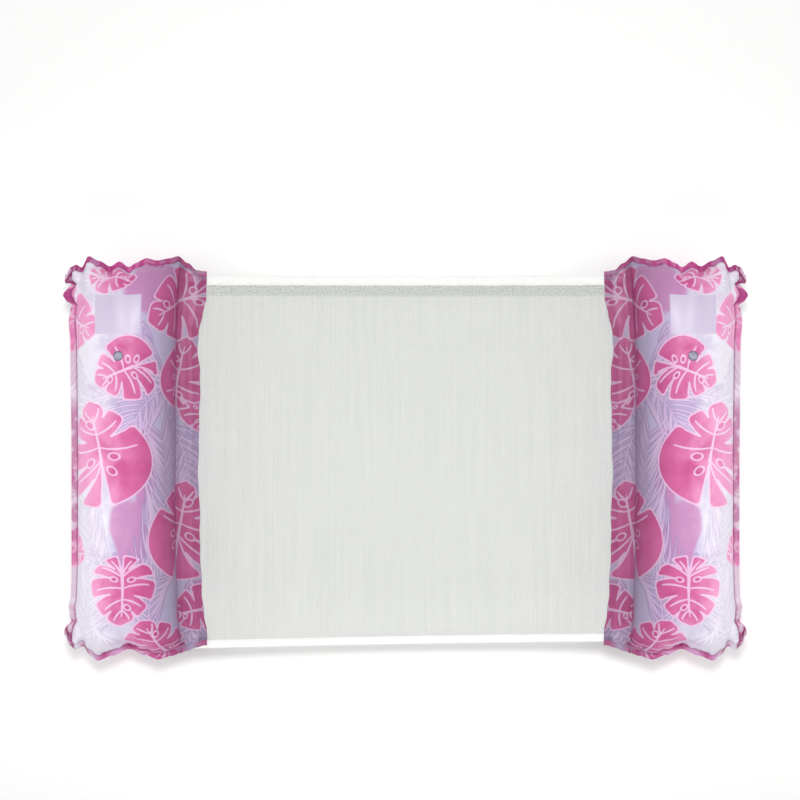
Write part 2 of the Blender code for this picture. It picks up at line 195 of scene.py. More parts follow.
def mesh_piece(
    name: str,
    points: np.ndarray,
    faces: Sequence,
    finish: bpy.types.Material,
    sharp_degrees: float,
) -> bpy.types.Object:
    """Make a smooth-shaded mesh object in the row frame.

    Args:
        name: Piece name.
        points: Vertices, in metres.
        faces: Vertex indices of each face.
        finish: Its material.
        sharp_degrees: Edges that turn more than this stay sharp.

    Returns:
        The linked object.
    """
    mesh = bpy.data.meshes.new(name)
    mesh.from_pydata(points.tolist(), [], [list(map(int, face)) for face in faces])
    mesh.update()
    mesh.shade_smooth()
    mesh.set_sharp_from_angle(angle=math.radians(sharp_degrees))
    mesh.materials.append(finish)
    piece = bpy.data.objects.new(name, mesh)
    bpy.context.scene.collection.objects.link(piece)
    return piece


def set_field(piece: bpy.types.Object, name: str, values: np.ndarray) -> None:
    """Store one number or one vector per vertex under a name that a material reads.

    Args:
        piece: The mesh object.
        name: Attribute name.
        values: Array of n numbers or of n rows of three.
    """
    kind = "FLOAT" if values.ndim == 1 else "FLOAT_VECTOR"
    key = "value" if values.ndim == 1 else "vector"
    attribute = piece.data.attributes.new(name, kind, "POINT")
    attribute.data.foreach_set(key, values.astype(np.float32).ravel())


# Finishes


class NodeBench:
    """Adds and joins the nodes of one material."""

    def __init__(self, name: str) -> None:
        """Start a material that holds one Principled shader.

        Args:
            name: Material name.
        """
        self.material = bpy.data.materials.new(name)
        self.material.use_nodes = True
        self.tree = self.material.node_tree
        self.shader = self.tree.nodes["Principled BSDF"]

    def node(self, kind: str, inputs: dict, **settings: object) -> bpy.types.Node:
        """Add a node of a kind, set its properties and feed its inputs by name or place."""
        made = self.tree.nodes.new(kind)
        for key, value in settings.items():
            setattr(made, key, value)
        for key, value in inputs.items():
            self.feed(made.inputs[key], value)
        return made

    def feed(self, socket: bpy.types.NodeSocket, value: object) -> None:
        """Link a socket to another, or set its value."""
        if isinstance(value, bpy.types.NodeSocket):
            self.tree.links.new(value, socket)
        else:
            socket.default_value = value

    def set(self, name: str, value: object) -> None:
        """Set or link an input of the shader by its name."""
        self.feed(self.shader.inputs[name], value)

    def read(self, name: str) -> bpy.types.NodeSocket:
        """The number that the mesh stores under a name."""
        return self.node("ShaderNodeAttribute", {}, attribute_name=name).outputs["Fac"]

    def read_vector(self, name: str) -> bpy.types.NodeSocket:
        """The vector that the mesh stores under a name."""
        return self.node("ShaderNodeAttribute", {}, attribute_name=name).outputs["Vector"]

    def place(self) -> bpy.types.NodeSocket:
        """The place on the object, in metres."""
        return self.node("ShaderNodeTexCoord", {}).outputs["Object"]

    def math(self, operation: str, *values: object) -> bpy.types.NodeSocket:
        """The result of a maths node."""
        return self.node("ShaderNodeMath", dict(enumerate(values)), operation=operation).outputs[0]

    def ramp(
        self, value: object, low: float, high: float, to_low: float = 0.0, to_high: float = 1.0
    ) -> bpy.types.NodeSocket:
        """Carry a value from one range to another, smoothly and without passing its ends.

        Args:
            value: What to read.
            low: Start of its range.
            high: End of its range.
            to_low: Result at the start.
            to_high: Result at the end.

        Returns:
            The result.
        """
        inputs = dict(enumerate((value, low, high, to_low, to_high)))
        made = self.node("ShaderNodeMapRange", inputs, interpolation_type="SMOOTHSTEP")
        return made.outputs["Result"]

    def axes(self, vector: object) -> tuple[bpy.types.NodeSocket, bpy.types.NodeSocket]:
        """The first two parts of a vector."""
        made = self.node("ShaderNodeSeparateXYZ", {0: vector})
        return made.outputs["X"], made.outputs["Y"]

    def mix(
        self, share: object, first: object, second: object, blend: str = "MIX"
    ) -> bpy.types.NodeSocket:
        """Mix two colours.

        Args:
            share: 0 keeps the first colour, 1 gives the mixed one.
            first: The first colour.
            second: The second colour.
            blend: How the second is laid over the first.

        Returns:
            The colour.
        """
        inputs = {"Factor": share, 6: first, 7: second}
        return self.node("ShaderNodeMix", inputs, data_type="RGBA", blend_type=blend).outputs[2]

    def noise(
        self, vector: object, scale: float, detail: float = 2.0, roughness: float = 0.5
    ) -> bpy.types.NodeSocket:
        """A noise from 0 to 1 along a vector.

        Args:
            vector: Where to read it.
            scale: Features per unit.
            detail: Octaves.
            roughness: How much the finer octaves count.

        Returns:
            The noise.
        """
        inputs = {"Vector": vector, "Scale": scale, "Detail": detail, "Roughness": roughness}
        return self.node("ShaderNodeTexNoise", inputs).outputs["Fac"]

    def bands(self, vector: object, scale: float) -> bpy.types.NodeSocket:
        """Slanting bands from 0 to 1 along a vector."""
        inputs = {"Vector": vector, "Scale": scale}
        settings = {"wave_type": "BANDS", "bands_direction": "DIAGONAL"}
        return self.node("ShaderNodeTexWave", inputs, **settings).outputs["Fac"]

    def scaled(self, vector: object, scale: Sequence[float]) -> bpy.types.NodeSocket:
        """A vector with each axis multiplied."""
        return self.node("ShaderNodeMapping", {"Vector": vector, "Scale": scale}).outputs[0]

    def bump(
        self, height: object, distance: float, strength: float = 1.0, below: object = None
    ) -> bpy.types.NodeSocket:
        """A normal bent by a height.

        Args:
            height: Height from 0 to 1.
            distance: What 1 stands for, in metres.
            strength: Share of it that shows.
            below: A normal that it is laid over.

        Returns:
            The bent normal.
        """
        inputs = {"Strength": strength, "Distance": distance, "Height": height}
        if below is not None:
            inputs["Normal"] = below
        return self.node("ShaderNodeBump", inputs).outputs[0]


def colour(red: int, green: int, blue: int) -> tuple[float, float, float, float]:
    """A colour for a socket from its screen values, 0 to 255."""
    linear = []
    for part in (red, green, blue):
        share = part / 255
        linear.append(share / 12.92 if share <= 0.04045 else ((share + 0.055) / 1.055) ** 2.4)
    return (*linear, 1.0)


@dataclass(frozen=True)
class PrintedVinyl:
    """Glossy soft vinyl film with the tropical print on it.

    Most inks come as a pair: the first towards the pillow's outer side, the second towards the seat.
    The first is paler and carries painted sheen of the lit outer side; the second is deeper, partly
    printed and partly painted shade of the side that faces the seat.
    """

    leaf: tuple = (colour(247, 166, 211), colour(216, 96, 160))
    leaf_deep: tuple = (colour(240, 140, 194), colour(202, 72, 140))
    line: tuple = (colour(250, 218, 240), colour(236, 188, 226))
    ground: tuple = (colour(222, 172, 214), colour(200, 138, 190))
    wash: tuple = (colour(243, 239, 250), colour(200, 186, 222))
    patch: tuple = colour(214, 202, 228)
    frond: tuple = (colour(246, 238, 250), colour(220, 190, 228))
    frond_shade: tuple = (colour(220, 212, 233), colour(168, 138, 188))
    # Crimson of the welds: painted shade in their crimped folds
    weld: tuple = (colour(184, 60, 134), colour(213, 82, 156))
    # Painted shade along the crease where the chamber meets its welds
    seam: tuple = colour(146, 46, 116)
    # Painted shade: the colour is multiplied darker towards the seat and over the flange, down to this
    # share
    seat_side_shade: float = 0.60
    seat_side_shade_over_mm: float = 105.0
    # Across the film, in mm: where the inks turn from painted sheen to painted shade
    sheen_to_shade_mm: tuple = (-66.0, 14.0)
    drift_mm: float = 28.0
    # Painted light: towards the front end the inks shift to their paler outer kind, which lightens the
    # front slopes
    front_painted_light_mm: float = 42.0
    front_mm: tuple = (-390.0, -190.0)
    crease_shade_share: float = 0.62
    roughness: float = 0.45
    rubbed: tuple = (-0.05, 0.09)
    edge_blur_mm: float = 0.6
    skin_depth: float = 0.00012
    emboss_depth: float = 0.00035

    def laid(self, bench: NodeBench, depth: object, under: object, ink: object) -> bpy.types.NodeSocket:
        """Lay an ink over a colour where a depth in mm is above 0, with a soft edge."""
        return bench.mix(bench.ramp(depth, -self.edge_blur_mm, self.edge_blur_mm), under, ink)

    def printed(self, bench: NodeBench, film: object) -> bpy.types.NodeSocket:
        """The print's colour, from the fields that the print stores on the mesh, with painted sheen and
        painted shade laid in.

        Args:
            bench: The material's nodes.
            film: Place on the film in mm.

        Returns:
            The colour.
        """
        across, along = bench.axes(film)
        mottle = bench.noise(film, 0.02, 3.0, 0.6)
        grain = bench.noise(film, 0.9, 2.0, 0.7)
        drifted = bench.math("ADD", across, bench.ramp(mottle, 0.2, 0.8, -self.drift_mm, self.drift_mm))
        # Painted light: towards the front end the inks shift to their paler outer kind, which lightens
        # the front slopes
        front_lightening = bench.ramp(along, *self.front_mm, -self.front_painted_light_mm, 0.0)
        # inward runs from 0, the paler inks with painted sheen of the lit outer side, to 1, the deeper
        # inks that are partly painted shade towards the seat
        inward = bench.ramp(bench.math("ADD", drifted, front_lightening), *self.sheen_to_shade_mm)
        paired = ("leaf", "leaf_deep", "line", "ground", "wash", "frond", "frond_shade", "weld")
        inks = {name: bench.mix(inward, *getattr(self, name)) for name in paired}
        washed = bench.ramp(bench.read("print_wash"), 0.25, 0.70)
        tone = bench.mix(washed, inks["ground"], inks["wash"])
        frond = bench.read("print_frond")
        near_frond = bench.ramp(frond, -4.0, -1.2)
        shaded = bench.math("MULTIPLY", near_frond, bench.ramp(grain, 0.3, 0.6, 0.35, 0.85))
        tone = bench.mix(shaded, tone, inks["frond_shade"])
        tone = self.laid(bench, frond, tone, inks["frond"])
        tint = bench.ramp(bench.noise(film, 0.025, 2.0), 0.35, 0.75)
        leaf = bench.mix(tint, inks["leaf"], inks["leaf_deep"])
        leaf = self.laid(bench, bench.read("print_oval"), leaf, inks["leaf_deep"])
        tone = bench.mix(bench.read("print_patch"), tone, self.patch)
        tone = self.laid(bench, bench.read("print_leaf"), tone, leaf)
        tone = self.laid(bench, bench.read("print_line"), tone, inks["line"])
        # Painted shade in the crimped welds' folds, laid in patches
        patchy = bench.ramp(bench.noise(film, 0.05, 2.0), 0.34, 0.54, 0.35, 0.92)
        crimped = bench.math("MULTIPLY", bench.read("weld_fold_shade"), patchy)
        tone = bench.mix(crimped, tone, inks["weld"])
        # Painted shade along the crease where the chamber meets its welds
        creased = bench.math("MULTIPLY", bench.read("weld_crease_shade"), self.crease_shade_share)
        tone = bench.mix(creased, tone, self.seam)
        # Painted shade: darker towards the seat and over the flange
        seat_side_darkening = bench.ramp(across, 0.0, self.seat_side_shade_over_mm, 1.0, self.seat_side_shade)
        return bench.mix(1.0, tone, seat_side_darkening, "MULTIPLY")

    def material(self) -> bpy.types.Material:
        """The printed film's material."""
        bench = NodeBench("printed_film_look")
        film = bench.read_vector("film_mm")
        bench.set("Base Color", self.printed(bench, film))
        haze = bench.noise(film, 0.06, 3.0, 0.6)
        rubbed = [self.roughness + more for more in self.rubbed]
        bench.set("Roughness", bench.ramp(haze, 0.3, 0.75, *rubbed))
        bench.set("Specular IOR Level", 0.55)
        bench.set("IOR", 1.5)
        bench.set("Coat Weight", 0.12)
        bench.set("Coat Roughness", 0.26)
        emboss = bench.math("MULTIPLY", bench.bands(film, 0.30), bench.read("weld_mask"))
        skin = bench.bump(bench.noise(film, 0.55, 3.0, 0.55), self.skin_depth)
        bench.set("Normal", bench.bump(emboss, self.emboss_depth, 1.0, skin))
        return bench.material


@dataclass(frozen=True)
class SeatMesh:
    """Fine knitted mesh of white yarn, with small open cells."""

    yarn: tuple = colour(230, 232, 229)
    yarn_dark: tuple = colour(219, 222, 219)
    cell_mm: tuple = (2.6, 3.4)
    # Painted shade of the doubled rear hem: a darker yarn and dark dots where the lower layer shows
    # through the cells
    hem: tuple = colour(224, 227, 223)
    hem_dot_shade: tuple = colour(187, 191, 187)
    open_from: float = 0.42
    open_over: float = 0.10
    drift_mm: float = 0.3
    roughness: float = 0.72

    def material(self) -> bpy.types.Material:
        """The mesh's material: its open cells are holes in its alpha."""
        bench = NodeBench("seat_mesh_look")
        cloth = bench.read_vector("cloth_mm")
        across, along = bench.axes(cloth)
        drift = bench.ramp(bench.noise(cloth, 0.05, 2.0), 0.2, 0.8, -self.drift_mm, self.drift_mm)
        knits = [
            bench.math("COSINE", bench.math("MULTIPLY", place, 2 * math.pi / size))
            for place, size in zip((bench.math("ADD", across, drift), along), self.cell_mm)
        ]
        cell = bench.math("MULTIPLY", *knits)
        open_from = self.open_from + self.open_over
        bench.set("Alpha", bench.ramp(cell, open_from, self.open_from - self.open_over))
        streak = bench.noise(bench.scaled(cloth, (0.25, 0.004, 1.0)), 1.0, 3.0, 0.7)
        yarn = bench.mix(bench.ramp(streak, 0.3, 0.75), self.yarn, self.yarn_dark)
        fleck = bench.noise(cloth, 0.35, 1.0)
        yarn = bench.mix(bench.ramp(fleck, 0.70, 0.80, 0.0, 0.35), yarn, self.yarn_dark)
        # Painted shade over the doubled rear hem, with dark dots
        doubled = bench.read("turned_hem_shade")
        yarn = bench.mix(doubled, yarn, self.hem)
        dots = bench.noise(cloth, 0.34, 1.0)
        dot_shade = bench.math("MULTIPLY", doubled, bench.ramp(dots, 0.46, 0.64, 0.0, 0.9))
        bench.set("Base Color", bench.mix(dot_shade, yarn, self.hem_dot_shade))
        bench.set("Roughness", self.roughness)
        bench.set("Sheen Weight", 0.15)
        bench.set("Sheen Roughness", 0.5)
        knit = bench.ramp(cell, -0.8, self.open_from)
        bench.set("Normal", bench.bump(knit, 0.0004, 0.7))
        return bench.material


@dataclass(frozen=True)
class WhiteTape:
    """White woven binding tape."""

    base: tuple = colour(254, 254, 252)
    worn: tuple = colour(247, 248, 247)
    rib_mm: float = 1.1
    roughness: float = 0.55

    def material(self) -> bpy.types.Material:
        """The tape's material: a fine rib across it, with slightly greyer threads."""
        bench = NodeBench("binding_tape_look")
        cloth = bench.read_vector("cloth_mm")
        across, along = bench.axes(cloth)
        turn = 2 * math.pi / self.rib_mm
        rib = bench.math("SINE", bench.math("MULTIPLY", across, turn))
        weft = bench.math("SINE", bench.math("MULTIPLY", along, turn * 0.8))
        weave = bench.math("MULTIPLY", rib, weft)
        wear = bench.noise(cloth, 0.09, 3.0, 0.6)
        tone = bench.mix(bench.ramp(wear, 0.4, 0.75), self.base, self.worn)
        bench.set("Base Color", bench.mix(bench.ramp(weave, -1.0, 1.0, 0.0, 0.3), tone, self.worn))
        bench.set("Roughness", self.roughness)
        bench.set("Sheen Weight", 0.1)
        bench.set("Normal", bench.bump(bench.ramp(weave, -1.0, 1.0), 0.00012))
        return bench.material


@dataclass(frozen=True)
class SewingThread:
    """White sewing thread, twisted."""

    base: tuple = colour(236, 236, 234)
    shade: tuple = colour(206, 207, 206)

    def material(self) -> bpy.types.Material:
        """The thread's material, with its twist as slanting bands."""
        bench = NodeBench("sewing_thread_look")
        place = bench.place()
        bench.set("Base Color", bench.mix(bench.bands(place, 900.0), self.shade, self.base))
        bench.set("Roughness", 0.5)
        return bench.material


@dataclass(frozen=True)
class ClearVinyl:
    """Soft clear vinyl of the valve, faintly blue and cloudy."""

    tint: tuple = colour(158, 154, 182)
    cloud: tuple = colour(186, 184, 206)
    roughness: float = 0.18

    def material(self) -> bpy.types.Material:
        """The valve's material: half see-through, with a cloudy skin."""
        bench = NodeBench("clear_valve_look")
        place = bench.place()
        cloud = bench.noise(place, 180.0, 3.0, 0.6)
        bench.set("Base Color", bench.mix(bench.ramp(cloud, 0.35, 0.7), self.tint, self.cloud))
        bench.set("Roughness", bench.ramp(cloud, 0.3, 0.8, self.roughness, self.roughness + 0.12))
        bench.set("Transmission Weight", 0.16)
        bench.set("IOR", 1.45)
        bench.set("Coat Weight", 0.3)
        bench.set("Normal", bench.bump(bench.noise(place, 700.0, 2.0), 0.00008))
        return bench.material


@dataclass(frozen=True)
class StudioPaper:
    """Plain white paper under the float, which shows white and keeps the float's shadow."""

    base: tuple = colour(244, 244, 243)
    grain: tuple = colour(238, 238, 238)
    lift_front: float = 0.16
    lift_rear: float = 0.22

    def material(self) -> bpy.types.Material:
        """The paper's material, lifted to white where the camera sees it."""
        bench = NodeBench("studio_paper")
        place = bench.place()
        grain = bench.noise(place, 40.0, 2.0)
        bench.set("Base Color", bench.mix(bench.ramp(grain, 0.3, 0.7, 0.0, 0.15), self.base, self.grain))
        bench.set("Roughness", 0.9)
        bench.set("Specular IOR Level", 0.1)
        rays = bench.node("ShaderNodeLightPath", {})
        seen = bench.math("MAXIMUM", rays.outputs["Is Camera Ray"], rays.outputs["Is Glossy Ray"])
        seen = bench.math("MAXIMUM", seen, rays.outputs["Is Transmission Ray"])
        bench.set("Emission Color", (1.0, 1.0, 1.0, 1.0))
        lift = bench.ramp(bench.axes(place)[1], -0.5, 0.3, self.lift_front, self.lift_rear)
        bench.set("Emission Strength", bench.math("MULTIPLY", seen, lift))
        return bench.material


@dataclass
class Finishes:
    """Every material of the float, made once."""

    film: bpy.types.Material
    mesh: bpy.types.Material
    tape: bpy.types.Material
    thread: bpy.types.Material
    valve: bpy.types.Material

    @classmethod
    def make(cls) -> "Finishes":
        """Make all the materials."""
        return cls(
            PrintedVinyl().material(),
            SeatMesh().material(),
            WhiteTape().material(),
            SewingThread().material(),
            ClearVinyl().material(),
        )


# Outline that the pillows and the seat share


@dataclass
class FloatPlan:
    """The float's plan: where the pillows, their welds and the seat between them lie.

    The rim tables give a place across the pillow, how far the weld is drawn in there and its lift.
    The edge tables give a place along the pillow and the edge's distance from the spine.
    """

    spine_x: float = 0.482561
    hinge_x: float = 0.360561
    seam_z: float = 0.070
    half: float = 0.084
    end: float = 0.340
    flare: float = 0.010
    outer_weld: float = 0.012
    end_weld: float = 0.010
    flange_wide: float = 0.0425
    seat_half: float = 0.320
    seat_shift: float = -0.0035
    front_slant: float = 0.006
    sag_at_hem: float = 0.016
    sag_more_inside: float = 0.006
    sag_rounding: float = 0.04
    bend_start: float = 0.377561
    bend_end: float = 0.343561
    rear_rim_mm: tuple = (
        (-106, 34, 0), (-97, 19, 6), (-87, 15, 5), (-79, 19, -3), (-66, 0, 4), (-48, 8, -3),
        (-30, 17, -8), (-13, 9, 1), (4, 19, 8), (19, 10, 2), (32, 3, -5), (53, 7, -3), (72, 4, 3),
        (89, 0, 3), (106, 12, 0), (121, 24, 0), (135, 26, 0),
    )
    front_rim_mm: tuple = (
        (-106, 45, 0), (-99, 27, 6), (-88, 19, 6), (-77, 24, -4), (-64, 8, -2), (-50, 0, 4),
        (-24, 9, 6), (4, 19, -7), (30, 9, -3), (56, 2, 5), (78, 8, 2), (92, 12, -2), (103, 16, 0),
        (120, 22, 0), (135, 26, 0),
    )
    outer_edge_mm: tuple = (
        (-345, 106), (-330, 107), (-312, 108), (-295, 104), (-284, 96), (-272, 99), (-258, 101),
        (-238, 97), (-200, 96), (0, 96), (200, 98), (240, 101), (258, 98), (266, 95), (276, 106),
        (286, 111), (297, 106), (304, 95), (311, 103), (319, 108), (330, 107), (345, 104),
    )
    flange_edge_mm: tuple = (
        (-345, 139), (-300, 138), (-270, 134), (-235, 129.5), (-165, 127), (-100, 126), (-30, 123.5),
        (40, 124.5), (110, 127), (150, 126), (180, 123), (215, 124), (250, 131), (285, 137.5),
        (345, 139),
    )
    flange_waves: tuple = ((0.0005, 0.019, 0.0, 0.0), (0.0004, 0.0083, 1.0, 0.0))

    def half_at(self, v: np.ndarray) -> np.ndarray:
        """Half the air chamber's width, which flares towards the ends."""
        return self.half + self.flare * np.abs(v / self.end) ** 3

    def side_lobe(self, v: np.ndarray) -> np.ndarray:
        """How far the outer weld's edge stands beyond a straight weld, in lobes near the ends."""
        return eased(v / MM, self.outer_edge_mm, 1) * MM - self.half_at(v) - self.outer_weld

    def rim(self, u: np.ndarray, v: np.ndarray, value: int) -> np.ndarray:
        """One value of the end weld's rim, from the rear's table or the front's."""
        rear = eased(u / MM, self.rear_rim_mm, value)
        front = eased(u / MM, self.front_rim_mm, value)
        return np.where(v > 0, rear, front) * MM

    def inset(self, u: np.ndarray, v: np.ndarray) -> np.ndarray:
        """How far the end weld is drawn in from the pillow's full length."""
        return self.rim(u, v, 1)

    def lift(self, u: np.ndarray, v: np.ndarray) -> np.ndarray:
        """How far the end weld stands above or below the seam's height."""
        return self.rim(u, v, 2)

    def flange_edge(self, v: np.ndarray) -> np.ndarray:
        """Where the films' inner flange ends, bowed and slightly wavy."""
        return eased(v / MM, self.flange_edge_mm, 1) * MM + waves(v, v, self.flange_waves)

    def seat_height(self, x: np.ndarray, y: np.ndarray) -> np.ndarray:
        """Height of the seat's middle surface, which runs level into the flanges."""
        along = 1.0 - (x / self.hinge_x) ** 2
        along = (along + np.sqrt(along**2 + self.sag_rounding**2)) / 2
        across = np.maximum(1.0 - ((y - self.seat_shift) / self.seat_half) ** 2, 0.0)
        return self.seam_z - (self.sag_at_hem + self.sag_more_inside * across) * along

    def front_edge(self, x: np.ndarray) -> np.ndarray:
        """Where the seat's front edge lies, a little slanted as the mesh was cut."""
        return self.seat_shift - self.seat_half + self.front_slant * x / self.hinge_x

    def bend(self, piece: bpy.types.Object, side: Side) -> None:
        """Bake a piece's placement into its points.

        Args:
            piece: Mesh object with no parent.
            side: Not used.
        """
        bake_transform(piece)


# Print

# Depth that stands for far outside a printed shape, in mm
FAR_MM = -9.0


@dataclass(frozen=True)
class Strokes:
    """Tapered straight strokes on the film: both ends and the half width at each, in mm."""

    start: np.ndarray
    end: np.ndarray
    half_start: np.ndarray
    half_end: np.ndarray

    @classmethod
    def along(cls, points: np.ndarray, widths: np.ndarray) -> "Strokes":
        """Strokes that follow a line of points with a half width at each."""
        return cls(points[:-1], points[1:], widths[:-1], widths[1:])

    @classmethod
    def joined(cls, parts: Sequence["Strokes"]) -> "Strokes":
        """Several sets of strokes as one."""
        sets = [(part.start, part.end, part.half_start, part.half_end) for part in parts]
        return cls(*(np.concatenate(group) for group in zip(*sets)))

    def depth(self, at: np.ndarray) -> np.ndarray:
        """How deep each point lies inside the nearest stroke, below 0 outside."""
        run = self.end - self.start
        reach = np.maximum((run**2).sum(axis=1), 1e-9)
        away = at[:, None, :] - self.start[None, :, :]
        share = np.clip((away * run[None]).sum(axis=2) / reach, 0.0, 1.0)
        gap = np.linalg.norm(away - share[..., None] * run[None], axis=2)
        width = self.half_start + (self.half_end - self.half_start) * share
        return (width - gap).max(axis=1)


@dataclass(frozen=True)
class PrintedLeaf:
    """A split leaf of the tropical print.

    Its stalk meets the blade at a place given in plan, u and v in mm from the pillow's middle, and
    heading is the way that its tip points there, in degrees from the rear towards the seat.
    """

    at_mm: tuple[float, float]
    heading: float
    length_mm: float
    width_mm: float
    broad: BroadLobe = BroadLobe.NONE
    behind: float = 0.30
    rays: int = 5
    outline_mm: float = 2.8
    vein_mm: float = 3.0
    foremost_turn: float = 32.0
    turn_range: float = 110.0
    broad_from: float = 75.0
    heart: tuple = (2.38, 0.50, 0.80)
    foot_share: float = 0.66
    foot_run: float = 1.3
    vein_bow: float = 0.34
    vein_past: float = 1.2
    slit_widths: tuple = (0.010, 0.022, 0.040, 0.060, 0.090)
    vein_widths: tuple = (0.35, 0.50, 0.55, 0.52, 0.42)
    rib_widths: tuple = (0.95, 0.35)
    window_size: tuple = (0.055, 0.034)
    notch_soft: float = 0.07
    sway: float = 0.14

    def half_width(self, y: np.ndarray) -> np.ndarray:
        """Half the blade's width at a distance ahead of the stalk, before its slits are cut."""
        scale, base, tip = self.heart
        share = np.clip(y / self.length_mm + self.behind, 0.0, 1.0)
        return 0.5 * self.width_mm * scale * share**base * (1.0 - share) ** tip

    def margin(self, at: np.ndarray) -> np.ndarray:
        """How deep points lie inside the blade's heart-shaped outline, below 0 outside."""
        share = 0.5 - 0.5 * np.cos(np.linspace(0.0, math.pi, 25))
        y = (share - self.behind) * self.length_mm
        wide = self.half_width(y)
        rim = np.stack([np.concatenate([wide, -wide[::-1]]), np.concatenate([y, y[::-1]])], axis=1)
        gap = -Strokes.along(rim, np.zeros(len(rim))).depth(at)
        return np.where(np.abs(at[:, 0]) < self.half_width(at[:, 1]), gap, -gap)

    def turn(self, step: float) -> float:
        """Angle between the midrib and a side vein, in degrees."""
        return self.foremost_turn + self.turn_range * step / (self.rays - 1)

    def path(self, step: float, side: int) -> np.ndarray:
        """Points along a side vein or a slit, from the midrib to just past the outline.

        Args:
            step: 0 for the foremost vein, 0.5 for the slit behind it, and so on.
            side: 1 right of the midrib, -1 left of it.

        Returns:
            Seven points; the sixth lies on the outline.
        """
        wobble = math.sin(7 * step + self.heading + 2 * side)
        turn = math.radians(self.turn(step) + 5 * wobble)
        ahead_of_stalk = self.foot_share * (1.0 - self.behind) * self.length_mm
        run = min(self.foot_run * step / (self.rays - 1), 1.0)
        foot = np.array([0.0, ahead_of_stalk * (1.0 - run)])
        ahead = np.array([side * math.sin(turn), math.cos(turn)])
        back = np.array([side * ahead[1], -side * ahead[0]])
        reaches = np.linspace(0.0, 1.1 * self.length_mm, 120)
        outside = self.margin(foot + ahead * reaches[:, None]) < 0
        far = reaches[max(int(np.argmax(outside)), 1)]
        shares = np.linspace(0.0, self.vein_past, 7)[:, None]
        return foot + ahead * far * shares + back * far * self.vein_bow * shares * (1.0 - shares)

    def window(self, path: np.ndarray, at: np.ndarray) -> np.ndarray:
        """How deep points lie in the oval between the midrib and a slit."""
        centre = 0.6 * path[1] + 0.4 * path[2]
        along = (path[2] - path[1]) / np.hypot(*(path[2] - path[1]))
        across = np.array([-along[1], along[0]])
        size = np.array(self.window_size) * 0.5 * (self.length_mm + self.width_mm)
        away = np.hypot((at - centre) @ along / size[0], (at - centre) @ across / size[1])
        return (1.0 - away) * size.min()

    def fields(self, at: np.ndarray) -> tuple[np.ndarray, np.ndarray, np.ndarray]:
        """How deep points lie in the leaf's blade, in its pale lines and in its ovals.

        Args:
            at: Points in the leaf's own frame, mm, y from the stalk to the tip.

        Returns:
            Blade, line and oval depths, each above 0 inside.
        """
        length, width, vein = self.length_mm, self.width_mm, self.vein_mm
        sway = self.sway * math.sin(self.heading)
        at = at - np.stack([sway * at[:, 1] ** 2 / length, 0.0 * at[:, 1]], axis=1)
        blade = self.margin(at)
        back = np.array([[0.0, 0.0], [0.0, -(self.behind + 0.08) * length]])
        slits = [Strokes.along(back, np.array([0.8, 0.075 * width]))]
        rib = np.array([[0.0, 0.0], [0.0, (0.86 - self.behind) * length]])
        lines = [Strokes.along(rib, np.array(self.rib_widths) * vein)]
        oval = np.full(len(at), FAR_MM)
        for side in (-1, 1):
            for step in np.arange(0.0, self.rays - 0.75, 0.5):
                path = self.path(step, side)
                plain = side == self.broad.value and self.turn(step) > self.broad_from
                between = step % 1.0 > 0
                if between and not plain:
                    shallow = int(step < 1.0)
                    widths = np.array(self.slit_widths) * width
                    slits.append(Strokes.along(path[2 + shallow :], widths[: 5 - shallow]))
                if not between and (not plain or step == self.rays // 2):
                    lines.append(Strokes.along(path[:5], np.array(self.vein_widths) * vein))
                one_sided = step < 1.0 and side * math.cos(self.heading) < 0
                if (step % 2.0 == 0.5 and not one_sided) or (plain and between):
                    oval = np.maximum(oval, self.window(path, at))
        slit = Strokes.joined(slits).depth(at)
        soft = self.notch_soft * width
        mixed = np.clip(0.5 + 0.5 * (slit + blade) / soft, 0.0, 1.0)
        blade = blade * (1 - mixed) - slit * mixed - soft * mixed * (1 - mixed) * 0.5
        line = Strokes.joined(lines).depth(at)
        line = np.where(blade > -self.outline_mm, line, FAR_MM)
        line = np.maximum(line, self.outline_mm / 2 - np.abs(blade + self.outline_mm / 2))
        line = np.where(oval > 0, -oval, line)
        line = np.maximum(line, vein * 0.38 - np.abs(oval))
        return blade, line, oval


